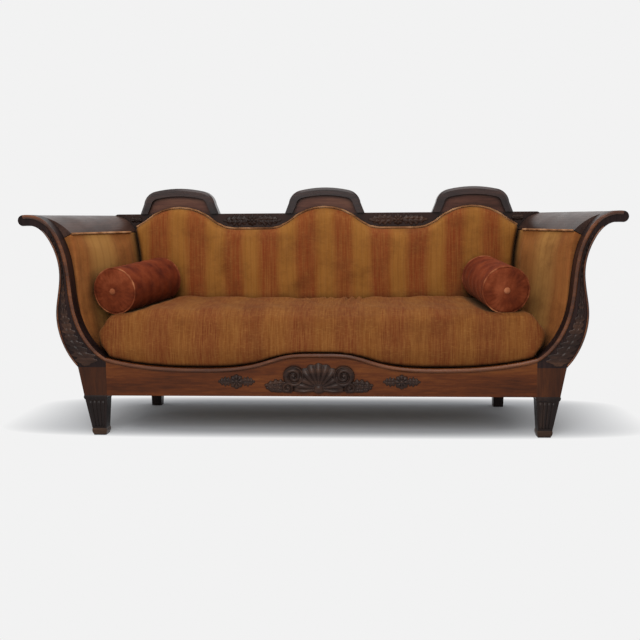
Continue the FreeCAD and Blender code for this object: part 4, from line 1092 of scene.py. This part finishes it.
for name, _ in SIDES:
    foot_band(name, "collar", 0.140, 0.016, 2.5 * MM, "foot_wood")
    foot_band(name, "toe", 0.004, 0.022, 2.5 * MM, "toe_wood")
    foot_reeds(name)
centre_shell()
rail_rosettes()
crest_sprays()
for name, side in SIDES:
    facing_carving(name, side)
    facing_edge_bead(name, side)


# Stage, light and camera
PALE = tone(242, 242, 242)
FILL = 0.55
LAMP_SIZE = 2.2
SHADOW_WIDE = 1.28  # where the floor has gone over into the backdrop, to each side
SHADOW_DEEP = 0.375


def seen_directly(tree):
    """1 for what the camera sees itself or in a reflection, and 0 for light that falls."""
    path = tree.nodes.new("ShaderNodeLightPath")
    seen = path.outputs["Is Camera Ray"]
    for way in ("Is Glossy Ray", "Is Transmission Ray"):
        either = tree.nodes.new("ShaderNodeMath")
        either.operation = "MAXIMUM"
        tree.links.new(seen, either.inputs[0])
        tree.links.new(path.outputs[way], either.inputs[1])
        seen = either.outputs[0]
    return seen


def backdrop_material():
    """A floor that takes the settee's real cast shadow near it and runs out into the even pale backdrop;
    near the settee it is a darker grey than the backdrop, so part of the shadow is painted.
    """
    made = Material("floor_paper")
    # painted shadow in part: this grey is darker than the pale backdrop, so a grey patch as wide as the
    # mask below lies round the settee besides its real cast shadow
    made.look(Base_Color=tone(186, 190, 196), Roughness=0.9, Specular_IOR_Level=0.0)
    shine = made.add("ShaderNodeEmission", {"Color": PALE, "Strength": 1.0})
    from_middle = made.math("SUBTRACT", made.axis("Y"), 0.05)
    wide = made.math("ABSOLUTE", made.math("DIVIDE", made.axis("X"), SHADOW_WIDE))
    deep = made.math("ABSOLUTE", made.math("DIVIDE", from_middle, SHADOW_DEEP))
    far = made.math("ADD", made.math("POWER", wide, 4.0), made.math("POWER", deep, 6.0))
    share = made.math("MULTIPLY", seen_directly(made.tree), made.span(far, 0.12, 1.05))
    both = made.add("ShaderNodeMixShader", {"Fac": share})
    made.set(both.inputs[1], made.shader.outputs[0])
    made.set(both.inputs[2], shine.outputs[0])
    made.set(made.tree.nodes["Material Output"].inputs["Surface"], both.outputs[0])
    return made.made


def floor():
    """A wide floor at z = 0."""
    half = 12.0
    corners = [(-half, -half, 0), (half, -half, 0), (half, half, 0), (-half, half, 0)]
    mesh = mesh_of("floor", corners, [(0, 1, 2, 3)])
    piece = bpy.data.objects.new("floor", mesh)
    bpy.context.scene.collection.objects.link(piece)
    mesh.materials.append(backdrop_material())


def world():
    """Pale to the camera and in reflections, and a soft fill for everything else."""
    made = bpy.data.worlds.new("studio")
    bpy.context.scene.world = made
    made.use_nodes = True
    tree = made.node_tree
    shown = tree.nodes["Background"]
    shown.inputs["Color"].default_value = PALE
    shown.inputs["Strength"].default_value = 1.0
    fill = tree.nodes.new("ShaderNodeBackground")
    fill.inputs["Color"].default_value = (1.0, 0.985, 0.965, 1)
    fill.inputs["Strength"].default_value = FILL
    both = tree.nodes.new("ShaderNodeMixShader")
    tree.links.new(seen_directly(tree), both.inputs[0])
    tree.links.new(fill.outputs[0], both.inputs[1])
    tree.links.new(shown.outputs[0], both.inputs[2])
    tree.links.new(both.outputs[0], tree.nodes["World Output"].inputs["Surface"])


def lamp(name, place, target, power, tint=(1, 1, 1)):
    """A square soft lamp at a place, turned to a target."""
    data = bpy.data.lights.new(name, "AREA")
    data.energy = power
    data.size = LAMP_SIZE
    data.color = tint
    piece = bpy.data.objects.new(name, data)
    bpy.context.scene.collection.objects.link(piece)
    piece.location = place
    piece.rotation_euler = (Vector(target) - Vector(place)).to_track_quat("-Z", "Y").to_euler()


def camera():
    """The photograph's own viewpoint."""
    place = (0.176, -3.437, 0.811)
    yaw, pitch, roll = 0.054, 0.116, -0.007
    lens = 47.745
    forward = Vector((-math.sin(yaw) * math.cos(pitch), math.cos(yaw) * math.cos(pitch), -math.sin(pitch)))
    right = forward.cross(Vector((0, 0, 1))).normalized()
    up = right.cross(forward)
    turned_right = right * math.cos(roll) + up * math.sin(roll)
    turned_up = up * math.cos(roll) - right * math.sin(roll)
    turn = Matrix((turned_right, turned_up, -forward)).transposed().to_4x4()
    data = bpy.data.cameras.new("camera")
    data.lens = lens
    piece = bpy.data.objects.new("camera", data)
    bpy.context.scene.collection.objects.link(piece)
    piece.matrix_world = Matrix.Translation(place) @ turn
    bpy.context.scene.camera = piece


floor()
world()
lamp("key", (-0.5, -3.4, 2.6), (0, 0.1, 0.5), 95, (1, 0.985, 0.96))
lamp("top", (0.2, 0.4, 3.4), (0, 0.1, 0.4), 32)
camera()
bpy.context.scene.view_settings.view_transform = "Standard"
